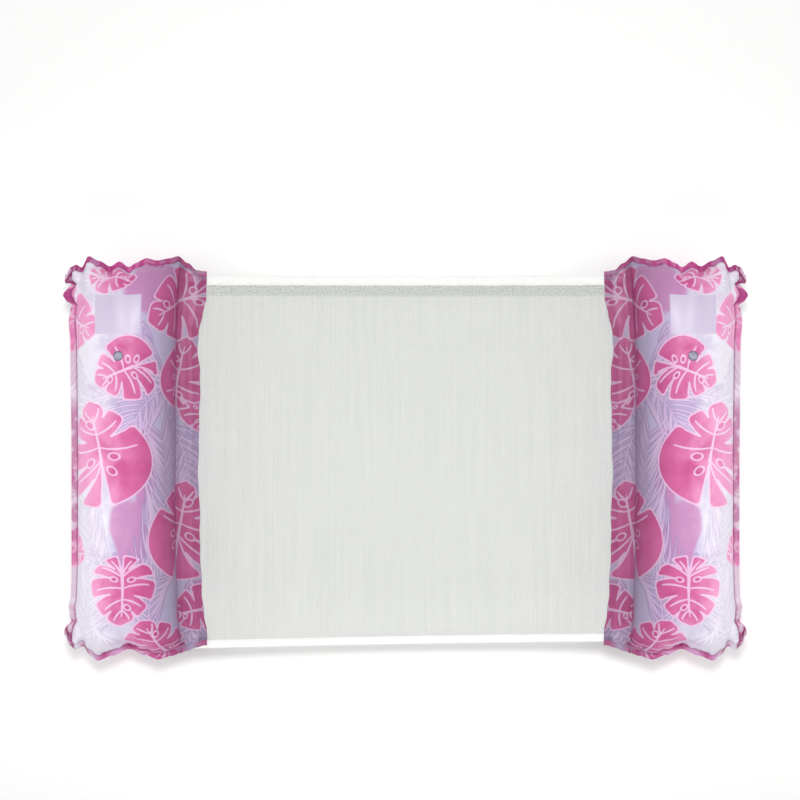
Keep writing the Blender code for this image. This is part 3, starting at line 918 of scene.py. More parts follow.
@dataclass(frozen=True)
class PrintedFrond:
    """A feathery palm frond of the print: a bowed rib with slender blades on both sides."""

    from_mm: tuple[float, float]
    to_mm: tuple[float, float]
    bow_mm: float
    blade_mm: float
    spacing_mm: float = 8.0
    rib_mm: tuple = (1.3, 0.5)
    blade_widths_mm: tuple = (0.5, 1.05, 1.25, 1.1, 0.7, 0.2)
    blade_turn: tuple = (58, -16, 11)
    blade_rise: tuple = (0.45, 0.75)
    blade_bend: tuple = (0.55, 0.15)

    def on_rib(self, share: float) -> tuple[np.ndarray, np.ndarray]:
        """A point of the bowed rib and the unit direction in which it runs there."""
        start = np.array(self.from_mm, float)
        run = np.array(self.to_mm, float) - start
        side = np.array([-run[1], run[0]]) / np.hypot(*run)
        place = start + run * share + side * self.bow_mm * 4 * share * (1 - share)
        ahead = run + side * self.bow_mm * 4 * (1 - 2 * share)
        return place, ahead / np.hypot(*ahead)

    def blade(self, share: float, sign: float, sway: float, stretch: float) -> Strokes:
        """One slender blade of the frond.

        Args:
            share: Its place along the rib.
            sign: 1 left of the rib, -1 right of it.
            sway: How much it turns off its usual angle, -1 to 1.
            stretch: How much longer or shorter it is than usual, -1 to 1.

        Returns:
            The blade's strokes.
        """
        base, ahead = self.on_rib(share)
        middle, towards_tip, by_sway = self.blade_turn
        turn = math.radians(middle + towards_tip * share + by_sway * sway) * sign
        out = np.array([
            ahead[0] * math.cos(turn) - ahead[1] * math.sin(turn),
            ahead[0] * math.sin(turn) + ahead[1] * math.cos(turn),
        ])
        least, more = self.blade_rise
        rise = least + more * math.sin(math.pi * min(share * 0.9 + 0.12, 1.0))
        long = self.blade_mm * rise * (1.0 + 0.30 * stretch)
        bend = self.blade_bend[0] + self.blade_bend[1] * sway
        steps = np.linspace(0.0, 1.0, len(self.blade_widths_mm))[:, None]
        line = base + long * (out * steps + ahead * bend * steps**2)
        return Strokes.along(line, np.array(self.blade_widths_mm))

    def strokes(self) -> Strokes:
        """The frond's rib and blades as tapered strokes, in film millimetres."""
        rib = np.array([self.on_rib(share)[0] for share in np.linspace(0.0, 1.0, 13)])
        parts = [Strokes.along(rib, np.linspace(*self.rib_mm, len(rib)))]
        count = max(int(math.dist(self.from_mm, self.to_mm) / self.spacing_mm), 4)
        for number in range(count):
            for sign in (-1.0, 1.0):
                sway = math.sin(12.9898 * number + 4.1 * sign + self.bow_mm)
                stretch = math.sin(78.233 * number + 2.3 * sign + self.blade_mm)
                share = (number + 0.5 + 0.4 * stretch) / count
                parts.append(self.blade(share, sign, sway, stretch))
        return Strokes.joined(parts)


@dataclass
class TropicalPrint:
    """The film's print: split leaves and palm fronds on a ground of pink and pale washes.

    Bare ground has rows of place across and along, and half width and half length, all in mm.
    """

    plan_to_film: Callable[[float, float], tuple[float, float]]
    leaves: tuple = (
        PrintedLeaf((-36, -4), 350, 180, 176, BroadLobe.RIGHT, 0.42),
        PrintedLeaf((18, 158), 248, 112, 110, BroadLobe.RIGHT, 0.36),
        PrintedLeaf((98, 278), 250, 158, 142, BroadLobe.NONE, 0.36, 4),
        PrintedLeaf((88, -134), 12, 170, 156, BroadLobe.LEFT, 0.44),
        PrintedLeaf((0, -200), 178, 122, 110, BroadLobe.NONE, 0.28),
        PrintedLeaf((-88, 246), 112, 134, 120, BroadLobe.NONE, 0.36, 4),
        PrintedLeaf((84, 120), 8, 124, 110, BroadLobe.LEFT, 0.26, 4),
        PrintedLeaf((62, -336), 338, 120, 136, BroadLobe.NONE, 0.30),
        PrintedLeaf((-30, 318), 98, 76, 74, BroadLobe.NONE, 0.36, 4),
        PrintedLeaf((128, -262), 262, 92, 88, BroadLobe.NONE, 0.36, 4),
        PrintedLeaf((-84, -152), 118, 74, 68, BroadLobe.NONE, 0.34, 4),
        PrintedLeaf((128, 84), 176, 62, 74, BroadLobe.RIGHT, 0.40, 3),
    )
    fronds: tuple = (
        PrintedFrond((92, 128), (14, 42), -16, 58),
        PrintedFrond((36, -184), (70, 44), -26, 66),
        PrintedFrond((-28, -186), (-66, -86), 12, 46),
        PrintedFrond((44, -300), (78, -186), 14, 56),
        PrintedFrond((34, 232), (64, 118), -14, 46),
        PrintedFrond((-22, 108), (-92, 66), -10, 40),
        PrintedFrond((-108, 330), (-58, 270), 10, 44),
        PrintedFrond((112, 62), (146, -78), 12, 44),
        PrintedFrond((140, 206), (132, 78), 10, 40),
        PrintedFrond((-86, -330), (-62, -190), -10, 48),
        PrintedFrond((-126, 210), (-116, 60), 8, 34),
        PrintedFrond((6, -346), (-60, -300), 8, 40),
        PrintedFrond((146, -210), (132, -330), 8, 38),
    )
    fade: float = 1.3
    bare_ground: tuple = (
        (44, 304, 46, 58), (38, 26, 30, 30), (12, -128, 34, 60), (38, -34, 15, 46),
        (-114, -10, 15, 130), (112, 330, 30, 20), (126, -236, 26, 26), (-30, 345, 60, 14),
        (20, -345, 90, 12), (-112, 290, 12, 60),
    )
    plain_patch_mm: tuple = (-46, 29, 214, 282)

    def paint(self, film: np.ndarray) -> dict[str, np.ndarray]:
        """Work out the print's fields at points of the film.

        Args:
            film: Points in film millimetres, across and along from the pillow's middle.

        Returns:
            Field name to one number per point.
        """
        leaf, line, oval, taken, frond = (np.full(len(film), FAR_MM) for _ in range(5))
        for shape in self.leaves:
            centre = np.array(self.plan_to_film(*shape.at_mm))
            near = np.hypot(*(film - centre).T) < max(shape.length_mm, shape.width_mm)
            turn = math.radians(shape.heading)
            ahead = np.array([math.sin(turn), math.cos(turn)])
            right = np.array([ahead[1], -ahead[0]])
            away = film[near] - centre
            blade, pale, ring = shape.fields(np.stack([away @ right, away @ ahead], axis=1))
            free = -taken[near] - shape.outline_mm
            for field_found, part in ((leaf, blade), (oval, ring), (line, pale)):
                field_found[near] = np.maximum(field_found[near], np.minimum(part, free))
            taken[near] = np.maximum(taken[near], blade)
        for shape in self.fronds:
            strokes = shape.strokes()
            low = np.minimum(strokes.start, strokes.end).min(axis=0) - 10.0
            high = np.maximum(strokes.start, strokes.end).max(axis=0) + 10.0
            near = ((film > low) & (film < high)).all(axis=1)
            frond[near] = np.maximum(frond[near], strokes.depth(film[near]))
        wash = np.ones(len(film))
        warp = 7.0 * np.sin(film[:, 1] / 19.0) + 2.0 * np.sin(film[:, 1] / 8.0 + film[:, 0] / 13.0)
        for across, along, wide, tall in self.bare_ground:
            centre = self.plan_to_film(across, along)
            away = np.hypot((film[:, 0] + warp - centre[0]) / wide, (film[:, 1] - centre[1]) / tall)
            wash -= self.fade * np.exp(-(away**4))
        left, low = self.plan_to_film(self.plain_patch_mm[0], self.plain_patch_mm[2])
        right, high = self.plan_to_film(self.plain_patch_mm[1], self.plain_patch_mm[3])
        inside = np.minimum.reduce(
            [film[:, 0] - left, right - film[:, 0], film[:, 1] - low, high - film[:, 1]]
        )
        return {
            "print_leaf": np.where(inside > 0.0, FAR_MM, leaf),
            "print_line": np.where(inside > 0.0, FAR_MM, line),
            "print_oval": oval,
            "print_frond": np.where(inside > -1.0, np.minimum(frond, FAR_MM), frond),
            "print_wash": np.where(inside > 0.0, 1.0, np.maximum(wash, 0.0)),
            "print_patch": np.clip(inside + 0.5, 0.0, 1.0),
        }


# Pillow


@dataclass
class FilmCloth:
    """A short cloth simulation that lets the air draw a film's ends into folds."""

    frames: int = 20
    solver_values: tuple = (
        ("quality", 7), ("mass", 0.05), ("tension_stiffness", 60), ("compression_stiffness", 60),
        ("shear_stiffness", 30), ("bending_stiffness", 0.02), ("tension_damping", 8),
        ("compression_damping", 8), ("shear_damping", 8), ("air_damping", 6), ("use_pressure", True),
        ("uniform_pressure_force", 4.0), ("vertex_group_mass", "weld"),
    )

    def settle(
        self, start: np.ndarray, flat: np.ndarray, faces: Sequence, pinned: Sequence[int]
    ) -> np.ndarray:
        """Blow up a film from a starting form and return where its points come to rest.

        Args:
            start: Points of the starting form, in metres.
            flat: The same points where the film lay flat before it was blown up.
            faces: Vertex indices of each face.
            pinned: Points of the weld, which stay where they are.

        Returns:
            The settled points.
        """
        mesh = bpy.data.meshes.new("film_cloth")
        mesh.from_pydata(start.tolist(), [], [list(map(int, face)) for face in faces])
        cloth = bpy.data.objects.new("film_cloth", mesh)
        scene = bpy.context.scene
        scene.collection.objects.link(cloth)
        cloth.shape_key_add(name="Basis")
        rest = cloth.shape_key_add(name="flat")
        rest.data.foreach_set("co", flat.astype(np.float32).ravel())
        rest.value = 0.0
        weld = cloth.vertex_groups.new(name="weld")
        weld.add([int(index) for index in pinned], 1.0, "REPLACE")
        solver = cloth.modifiers.new("air", "CLOTH")
        for name, value in self.solver_values:
            setattr(solver.settings, name, value)
        solver.settings.effector_weights.gravity = 0.0
        solver.settings.rest_shape_key = rest
        solver.collision_settings.use_collision = False
        solver.point_cache.frame_start = 1
        solver.point_cache.frame_end = self.frames
        for number in range(1, self.frames + 1):
            scene.frame_set(number)
        settled = cloth.evaluated_get(bpy.context.evaluated_depsgraph_get())
        points = np.empty(len(start) * 3)
        settled.data.vertices.foreach_get("co", points)
        scene.frame_set(1)
        bpy.data.objects.remove(cloth)
        bpy.data.meshes.remove(mesh)
        return points.reshape(-1, 3)


@dataclass
class PillowForm:
    """The inflated form of a pillow's two films, on one grid of film places.

    Pairs with over in their name are the start and the run of a smooth rise.
    """

    plan: FloatPlan
    dome: float = 0.06945
    crown: tuple = (2.1, 0.5)
    end_crown: tuple = (7.0, 0.6)
    draw_power: float = 12.0
    wave_power: float = 10.0
    lobe_share: float = 0.6
    lobe_power: float = 8.0
    pucker: float = 0.30
    pucker_inset: float = 0.019
    pucker_power: float = 7.0
    columns: int = 40
    rows: int = 123
    finer: int = 4
    outer_columns: int = 8
    end_rows: int = 7
    flange_columns: int = 24
    lobe_spread: float = 0.4
    film_offset: float = 0.00055
    lap_swell: float = 0.0006
    lap_over: tuple = (0.100, 0.008)
    tape_swells: tuple = ((-0.3165, 0.0011), (0.3095, 0.0019))
    tape_swell_half: float = 0.009
    frill_slant: float = 0.6
    frill_waves: tuple = ((0.0011, 17.0, 1.0, 0.0), (0.0006, 9.7, 0.0, 40.0))
    frill_fade_over: tuple = (0.100, -0.020)
    frill_end_over: tuple = (0.24, 0.07)
    crease: float = 0.00075
    crease_waves: tuple = ((1.0, 19.0, 0.8, 6.0), (0.6, 11.3, 2.0, 0.0), (0.35, 6.1, 0.0, 30.0))
    crease_start_mm: float = 3.0
    crease_run_mm: float = 24.0
    crease_side_mm: float = 8.0
    dent: float = 0.0002
    dent_side_over_mm: tuple = (10.0, 30.0)
    dent_end_over_mm: tuple = (10.0, 40.0)
    valve_at: tuple = (-0.007, 0.176)
    valve_calm_over: tuple = (0.020, 0.030)
    cloth: FilmCloth = field(default_factory=FilmCloth)
    flat_gap: float = 0.001
    settled_over: tuple = (0.205, 0.060)

    def __post_init__(self) -> None:
        """Measure the film across and along, and spread the grid evenly over it."""
        self.shares = np.linspace(-1.0, 1.0, 4001)
        self.arc_across = self.arc(self.plan.half, self.crown)
        self.arc_along = self.arc(self.plan.end, self.end_crown)
        self.width = float(self.arc_across[-1])
        self.length = float(self.arc_along[-1])

    def bulge(self, share: np.ndarray, crown: tuple) -> np.ndarray:
        """How high a section stands, 0 at its welds and 1 in its middle."""
        power, root = crown
        return np.maximum(1 - np.abs(share) ** power, 0.0) ** root

    def arc(self, half: float, crown: tuple) -> np.ndarray:
        """Lengths along a section of the film, from one weld to each share of its half width."""
        height = self.dome * self.bulge(self.shares, crown)
        steps = np.hypot(np.diff(self.shares * half), np.diff(height))
        return np.concatenate([[0.0], np.cumsum(steps)])

    def film_place(self, u_mm: float, v_mm: float) -> tuple[float, float]:
        """Film millimetres, from its middle, of a place seen from above in plan."""
        found = []
        for place_mm, half, arc in (
            (u_mm, self.plan.half, self.arc_across), (v_mm, self.plan.end, self.arc_along)
        ):
            share = np.clip(place_mm * MM / half, -1.0, 1.0)
            at = np.interp(share, self.shares, arc) - arc[-1] / 2
            found.append(float((at + (place_mm * MM - share * half)) / MM))
        return found[0], found[1]

    def formed(self, layer: Layer) -> np.ndarray:
        """The film's form by rule: rows of (u, v, height above the seam) on the coarse grid."""
        plan = self.plan
        arcs = np.linspace(0.0, self.width, self.columns + 1)
        s = np.interp(arcs, self.arc_across, self.shares)[None, :]
        arcs = np.linspace(0.0, self.length, self.rows + 1)
        share = np.interp(arcs, self.arc_along, self.shares)[:, None]
        v = share * plan.end + 0.0 * s
        t = np.abs(share) + 0.0 * s
        u = s * plan.half_at(v)
        lobe = plan.side_lobe(v) * self.lobe_share
        u = np.where(s < 0, u - lobe * np.abs(s) ** self.lobe_power, u)
        inset = plan.inset(u, v)
        along = np.abs(v) - inset * t**self.draw_power
        swell = self.bulge(s, self.crown) * self.bulge(t, self.end_crown)
        folds = 1.0 - self.pucker * (inset / self.pucker_inset - 0.5) * t**self.pucker_power
        rise = self.dome * swell * np.clip(folds, 0.0, 2.0)
        wave = plan.lift(u, v) * t**self.wave_power
        height = wave + layer.value * np.minimum(rise, self.dome)
        return np.stack([u, np.copysign(along, v), height], axis=-1)

    def settled(self) -> dict[Layer, np.ndarray]:
        """Both films' coarse grids, their ends drawn into folds by the cloth simulation."""
        forms = {layer: self.formed(layer) for layer in Layer}
        rows, columns = self.rows + 1, self.columns + 1
        index = np.arange(rows * columns).reshape(rows, columns)
        rim = np.ones((rows, columns), bool)
        rim[1:-1, 1:-1] = False
        lower_index = index.copy()
        lower_index[~rim] = rows * columns + np.arange((~rim).sum())
        start = np.concatenate([forms[Layer.UPPER].reshape(-1, 3), forms[Layer.LOWER][~rim]])
        across = np.linspace(-0.5, 0.5, columns)[None, :] * self.width + np.zeros((rows, 1))
        along = np.linspace(-0.5, 0.5, rows)[:, None] * self.length + np.zeros((1, columns))
        gap = np.where(rim, 0.0, self.flat_gap)
        upper_flat = np.stack([across, along, gap], axis=-1).reshape(-1, 3)
        lower_flat = np.stack([across, along, -gap], axis=-1)[~rim]
        quads = grid_quads(rows, columns)
        faces = np.concatenate([quads, lower_index.ravel()[quads][:, ::-1]])
        flat = np.concatenate([upper_flat, lower_flat])
        found = self.cloth.settle(start, flat, faces, index[rim])
        weight = smooth_rise(np.abs(start[:, 1]), *self.settled_over)
        found = start + (found - start) * weight[:, None]
        return {Layer.UPPER: found[index], Layer.LOWER: found[lower_index]}

    def surface(self, coarse: np.ndarray, layer: Layer) -> tuple[np.ndarray, np.ndarray]:
        """The film's outer face with its welds and flange, and the film place of each point.

        Args:
            coarse: The chamber's coarse grid, u, v and height above the seam.
            layer: Which film.

        Returns:
            Grid of (u, v, z) in metres and grid of film millimetres.
        """
        plan = self.plan
        fine = refined(coarse, self.finer)
        fine = refined(fine.transpose(1, 0, 2), self.finer).transpose(1, 0, 2)
        rows, columns = fine.shape[:2]
        outer = np.linspace(-plan.outer_weld, 0.0, self.outer_columns + 1)[:-1]
        flange = np.linspace(0.0, 1.0, self.flange_columns + 1)[1:]
        ends = np.linspace(-plan.end_weld, 0.0, self.end_rows + 1)[:-1]
        row_of = np.pad(np.arange(rows), self.end_rows, mode="edge")
        column_of = np.pad(np.arange(columns), (len(outer), len(flange)), mode="edge")
        over_outer = np.pad(-outer / plan.outer_weld, (0, columns + len(flange)))
        beyond_end = np.concatenate([ends, np.zeros(rows), -ends[::-1]])[:, None]
        grid = self.crimped(fine, layer)[row_of][:, column_of]
        u, v = grid[..., 0].copy(), grid[..., 1].copy()
        rim = len(outer) + columns
        edge = plan.flange_edge(v[:, -1:] + beyond_end)
        grid[:, rim:, 0] = u[:, -1:] + (edge - u[:, -1:]) * flange
        spread = 1.0 + self.lobe_spread * plan.side_lobe(v[:, :1]) / plan.outer_weld
        grid[:, : len(outer), 0] = u[:, :1] + outer * spread
        share = np.interp(np.linspace(0.0, self.length, rows), self.arc_along, self.shares)
        drawn = np.abs(share[row_of])[:, None] ** self.draw_power
        step = plan.inset(grid[..., 0], v) - plan.inset(u, v)
        grid[..., 1] += beyond_end - np.sign(v) * step * drawn
        out = np.maximum(np.abs(beyond_end) / plan.end_weld, over_outer)
        frill = waves(2 * math.pi * (u + self.frill_slant * v) / MM, v, self.frill_waves) * out
        frill *= smooth_rise(grid[..., 0], *self.frill_fade_over)
        grid[..., 2] += frill * smooth_rise(np.abs(grid[..., 1]), *self.frill_end_over)
        self.lay_on_seat(grid, layer)
        across = np.linspace(-0.5, 0.5, columns) * self.width
        along = np.linspace(-0.5, 0.5, rows) * self.length
        film_u = np.concatenate([
            across[0] + outer, across, across[-1] + flange * plan.flange_wide
        ])
        film_v = np.concatenate([along[0] + ends, along, along[-1] - ends[::-1]])
        film = np.stack(np.broadcast_arrays(film_u[None, :], film_v[:, None]), axis=-1) / MM
        return grid, film

    def lay_on_seat(self, grid: np.ndarray, layer: Layer) -> None:
        """Turn a grid's heights over the seam into heights over the floor, level in the flange.

        Args:
            grid: The film's grid, changed in place.
            layer: Which film.
        """
        plan = self.plan
        seam = plan.seat_height(plan.spine_x - grid[..., 0], grid[..., 1])
        lap = smooth_rise(grid[..., 0], *self.lap_over)
        swell = sum(
            size * np.exp(-(((grid[..., 1] - at) / self.tape_swell_half) ** 4))
            for at, size in self.tape_swells
        )
        offset = self.film_offset + self.lap_swell * lap + lap * swell
        z = seam + grid[..., 2] * (1 - lap) + layer.value * offset
        grid[..., 2] = np.maximum(z, 0.0) if layer is Layer.LOWER else np.minimum(z, 2 * plan.seam_z)

    def crimped(self, fine: np.ndarray, layer: Layer) -> np.ndarray:
        """Add the fine creases that run in from the crimped welds, and faint dents on the body."""
        u, v = fine[..., 0], fine[..., 1]
        normal = grid_normals(fine) * layer.value
        from_end, from_side = (
            np.minimum(np.arange(count), np.arange(count)[::-1]) * (size / MM / (count - 1))
            for count, size in zip(fine.shape, (self.length, self.width))
        )
        from_end = from_end[:, None]
        edge = np.clip(from_end / self.crease_start_mm, 0, 1)
        edge = edge * np.exp(-((from_end / self.crease_run_mm) ** 2))
        crease = self.crease * waves(2 * math.pi * u / MM, v, self.crease_waves)
        amount = crease * edge * np.clip(from_side / self.crease_side_mm, 0, 1)
        dents = np.sin(u / 0.021 + 3.0 * np.sin(v / 0.061)) * np.sin(v / 0.034 + 1.3)
        calm = smooth_rise(from_side, *self.dent_side_over_mm)
        calm = calm * smooth_rise(from_end, *self.dent_end_over_mm)
        from_valve = np.hypot(u - self.valve_at[0], v - self.valve_at[1])
        calm = calm * smooth_rise(from_valve, *self.valve_calm_over) * (layer is Layer.UPPER)
        amount = amount - self.dent * (1 + dents) * calm
        return fine + normal * amount[..., None]


@dataclass
class AirValve:
    """The push-in valve: well, stem, flap, plug and tether, turned about the valve's own axis."""

    side: Side
    finishes: Finishes
    origin: tuple[float, float, float] = (0.489567, 0.176045, 0.139374)
    axis: tuple[float, float, float] = (0.0101306, 0.0824965, 0.9965399)
    hole_radius: float = 0.0085
    stem_radius: float = 0.0055
    stem_bore: float = 0.0038
    stem_length: float = 0.017
    collar_radius: float = 0.0066
    collar_height: float = 0.0012
    cap_radius: float = 0.0070
    cap_height: float = 0.0016
    plug_length: float = 0.007
    well_top: float = -0.0007
    skirt_depth: float = 0.0058
    skirt_fold: float = 0.0005
    wall: float = 0.0006
    taper: float = 0.0005
    gap: float = 0.0003
    lug: tuple[float, float] = (0.0010, 0.0030)
    flap_radius: float = 0.0048
    flap_thick: float = 0.0006
    strap_half: float = 0.0012
    strap_thick: float = 0.0007
    strap_bend: tuple[float, float, float] = (0.0012, 0.0008, 0.00085)
    turn_steps: int = 56
    corner_steps: int = 4
    bend_steps: int = 6
    sharp_degrees: float = 40.0

    def named(self, name: str) -> str:
        """A name with the side in front, as the frame's nodes and bodies have it."""
        return f"{self.side.word}_{name}"

    def frame_matrix(self) -> Matrix:
        """The valve's frame: origin on the film's outer face, Z out of the film."""
        sign = self.side.value
        normal = Vector((sign * self.axis[0], self.axis[1], self.axis[2])).normalized()
        across = sign * Vector((0.0, 1.0, 0.0)).cross(normal).normalized()
        along = normal.cross(across).normalized()
        place = Matrix((across, along, normal)).transposed().to_4x4()
        place.translation = (sign * self.origin[0], self.origin[1], self.origin[2])
        return place

    def piece(self, name: str, points: np.ndarray, faces: Sequence) -> bpy.types.Object:
        """Make a piece of clear vinyl from points in the valve's frame."""
        made = mesh_piece(self.named(name), points, faces, self.finishes.valve, self.sharp_degrees)
        made.matrix_world = self.frame_matrix()
        return made

    def turned(self, name: str, section: Sequence[tuple[float, float, float]]) -> bpy.types.Object:
        """Turn a closed section with rounded corners about the valve's axis.

        Args:
            name: Piece name, without its side.
            section: Radius, height and rounding of each corner, in order, the outer side upwards.

        Returns:
            The piece, in the row frame.
        """
        radius, height = np.array(self.rounded(section)).T[:, :, None]
        angle = np.linspace(0.0, 2 * math.pi, self.turn_steps, endpoint=False)
        rings = np.broadcast_arrays(radius * np.cos(angle), radius * np.sin(angle), height)
        index = np.arange(radius.size * self.turn_steps).reshape(-1, self.turn_steps)
        faces = tube_quads(np.column_stack([index, index[:, 0]]))
        return self.piece(name, np.stack(rings, axis=-1).reshape(-1, 3), faces)

    def rounded(self, section: Sequence[tuple[float, float, float]]) -> list[tuple[float, float]]:
        """Round the corners of a section.

        Args:
            section: Radius, height and rounding of each corner, in order.

        Returns:
            The section's points.
        """
        found = []
        corners = [Vector(row[:2]) for row in section]
        for number, row in enumerate(section):
            here, size = corners[number], row[2]
            if size <= 0:
                found.append(tuple(here))
                continue
            before = (corners[number - 1] - here).normalized()
            after = (corners[(number + 1) % len(section)] - here).normalized()
            start, end = here + before * size, here + after * size
            for step in range(self.corner_steps + 1):
                t = step / self.corner_steps
                found.append(tuple(start * (1 - t) ** 2 + here * 2 * t * (1 - t) + end * t * t))
        return found

    def stand_for(self, node: str) -> None:
        """Let a piece take the place of a node."""
        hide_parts(self.named(node))

    def stretch(
        self, piece: bpy.types.Object, bodies: tuple[str, str], span: tuple[float, float]
    ) -> None:
        """Bake a soft piece's placement into its points.

        Args:
            piece: The piece.
            bodies: Not used.
            span: Heights on the valve's axis at its two ends.
        """
        start, end = (tuple(self.frame_matrix() @ Vector((0.0, 0.0, height))) for height in span)
        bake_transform(piece)

    def make_well(self) -> None:
        """The skirt: a soft round well from the film's hole down to the stem, with a bellows fold."""
        outside = self.hole_radius - self.gap
        inside = self.stem_radius + self.gap
        foot, top = -self.skirt_depth, self.well_top
        well = self.turned("valve_well", [
            (inside, foot - self.wall, 0.0001),
            (outside - self.taper, foot - self.wall, 0.0009),
            (outside, top, 0.0001),
            (outside - self.wall, top, 0.00025),
            (outside - self.taper - self.wall, foot, 0.0005),
            ((outside + inside) / 2, foot + self.skirt_fold, 0.0004),
            (inside, foot, 0.0001),
        ])
        self.stretch(well, ("pillow", "stem"), (top, foot - self.wall))
        self.stand_for("valve_skirt")

    def make_stem(self) -> None:
        """The stem: a soft tube with a thick lip at the top and a collar at its foot."""
        top = -self.cap_height - self.gap
        bottom = top - self.stem_length
        tube = self.turned("valve_tube", [
            (self.stem_bore, bottom, 0.0002),
            (self.collar_radius, bottom, 0.0003),
            (self.collar_radius, bottom + self.collar_height, 0.0003),
            (self.stem_radius, bottom + self.collar_height, 0.0002),
            (self.stem_radius, top, 0.0004),
            (self.stem_bore, top, 0.0004),
        ])
        self.add_lug(tube, bottom)
        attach(tube, self.named("stem"))
        self.stand_for("valve_stem")

    def add_lug(self, tube: bpy.types.Object, bottom: float) -> None:
        """Add the lug that carries the check flap.

        Args:
            tube: The stem's tube.
            bottom: Height of its lower end.
        """
        inner = self.flap_radius + self.gap
        deep, wide = self.lug
        low = Vector((inner, -wide / 2, bottom - self.gap - self.flap_thick))
        high = Vector((inner + deep, wide / 2, bottom + deep / 2))
        place = Matrix.Translation((low + high) / 2) @ Matrix.Diagonal((*(high - low), 1.0))
        shape = bmesh.new()
        shape.from_mesh(tube.data)
        bmesh.ops.create_cube(shape, size=1.0, matrix=place)
        shape.to_mesh(tube.data)
        shape.free()

    def make_plug(self) -> None:
        """The plug: a rounded cap with a raised rim and a shallow dish, on a ribbed shank."""
        foot = -self.cap_height - self.plug_length
        shank = self.stem_bore - self.gap
        flat = 0.00002
        plug = self.turned("valve_stopper", [
            (flat, foot, 0.0),
            (shank - 0.00075, foot, 0.0003),
            (shank - 0.0002, foot + 0.0023, 0.0003),
            (shank - 0.0005, foot + 0.0032, 0.0002),
            (shank, foot + 0.0041, 0.0002),
            (shank, -self.cap_height, 0.0001),
            (self.cap_radius, -self.cap_height, 0.0003),
            (self.cap_radius, -0.0002, 0.0006),
            (self.cap_radius - 0.0012, 0.0, 0.0004),
            (self.cap_radius - 0.0019, -0.00045, 0.0003),
            (0.0016, -0.00045, 0.0004),
            (0.0009, -0.0001, 0.0003),
            (flat, -0.0001, 0.0),
        ])
        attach(plug, self.named("plug"))
        self.stand_for("valve_plug")

    def make_tether(self) -> None:
        """The strap between cap and stem, folded in the well."""
        top, foot = -self.cap_height, -self.skirt_depth + self.gap
        beside = -self.cap_radius + self.strap_thick / 2
        above, inwards, down = self.strap_bend
        line = [(beside, top), (beside, foot + above)]
        for step in range(self.bend_steps + 1):
            turn = math.pi / 2 * step / self.bend_steps
            bent = beside + inwards * (1 - math.cos(turn))
            line.append((bent, foot + above - down * math.sin(turn)))
        line.append((-self.stem_radius - self.gap, foot + self.strap_thick / 2))
        path = np.array(line)
        run = np.gradient(path, axis=0)
        off = np.stack([-run[:, 1], run[:, 0]], 1)
        off *= self.strap_thick / 2 / np.linalg.norm(off, axis=1, keepdims=True)
        corners = []
        for sign_y, sign_off in ((-1, 1), (1, 1), (1, -1), (-1, -1)):
            flat = path + off * sign_off
            corners.append(np.insert(flat, 1, sign_y * self.strap_half, axis=1))
        index = np.arange(4 * len(path)).reshape(4, -1)
        faces = [index[:, 0], index[::-1, -1], *tube_quads(index)]
        strap = self.piece("valve_strap", np.concatenate(corners), faces)
        self.stretch(strap, ("plug", "stem"), (top, foot))
        self.stand_for("plug_tether")

    def build(self) -> None:
        """Make the valve's pieces, and dress the two nodes that stay."""
        self.make_well()
        self.make_stem()
        self.make_plug()
        self.make_tether()
        for node in ("valve_ring", "check_flap"):
            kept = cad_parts[self.named(node)]
            kept.data.materials.clear()
            kept.data.materials.append(self.finishes.valve)
        log.info("%s valve: well, stem, plug, strap, ring and flap", self.side.word)


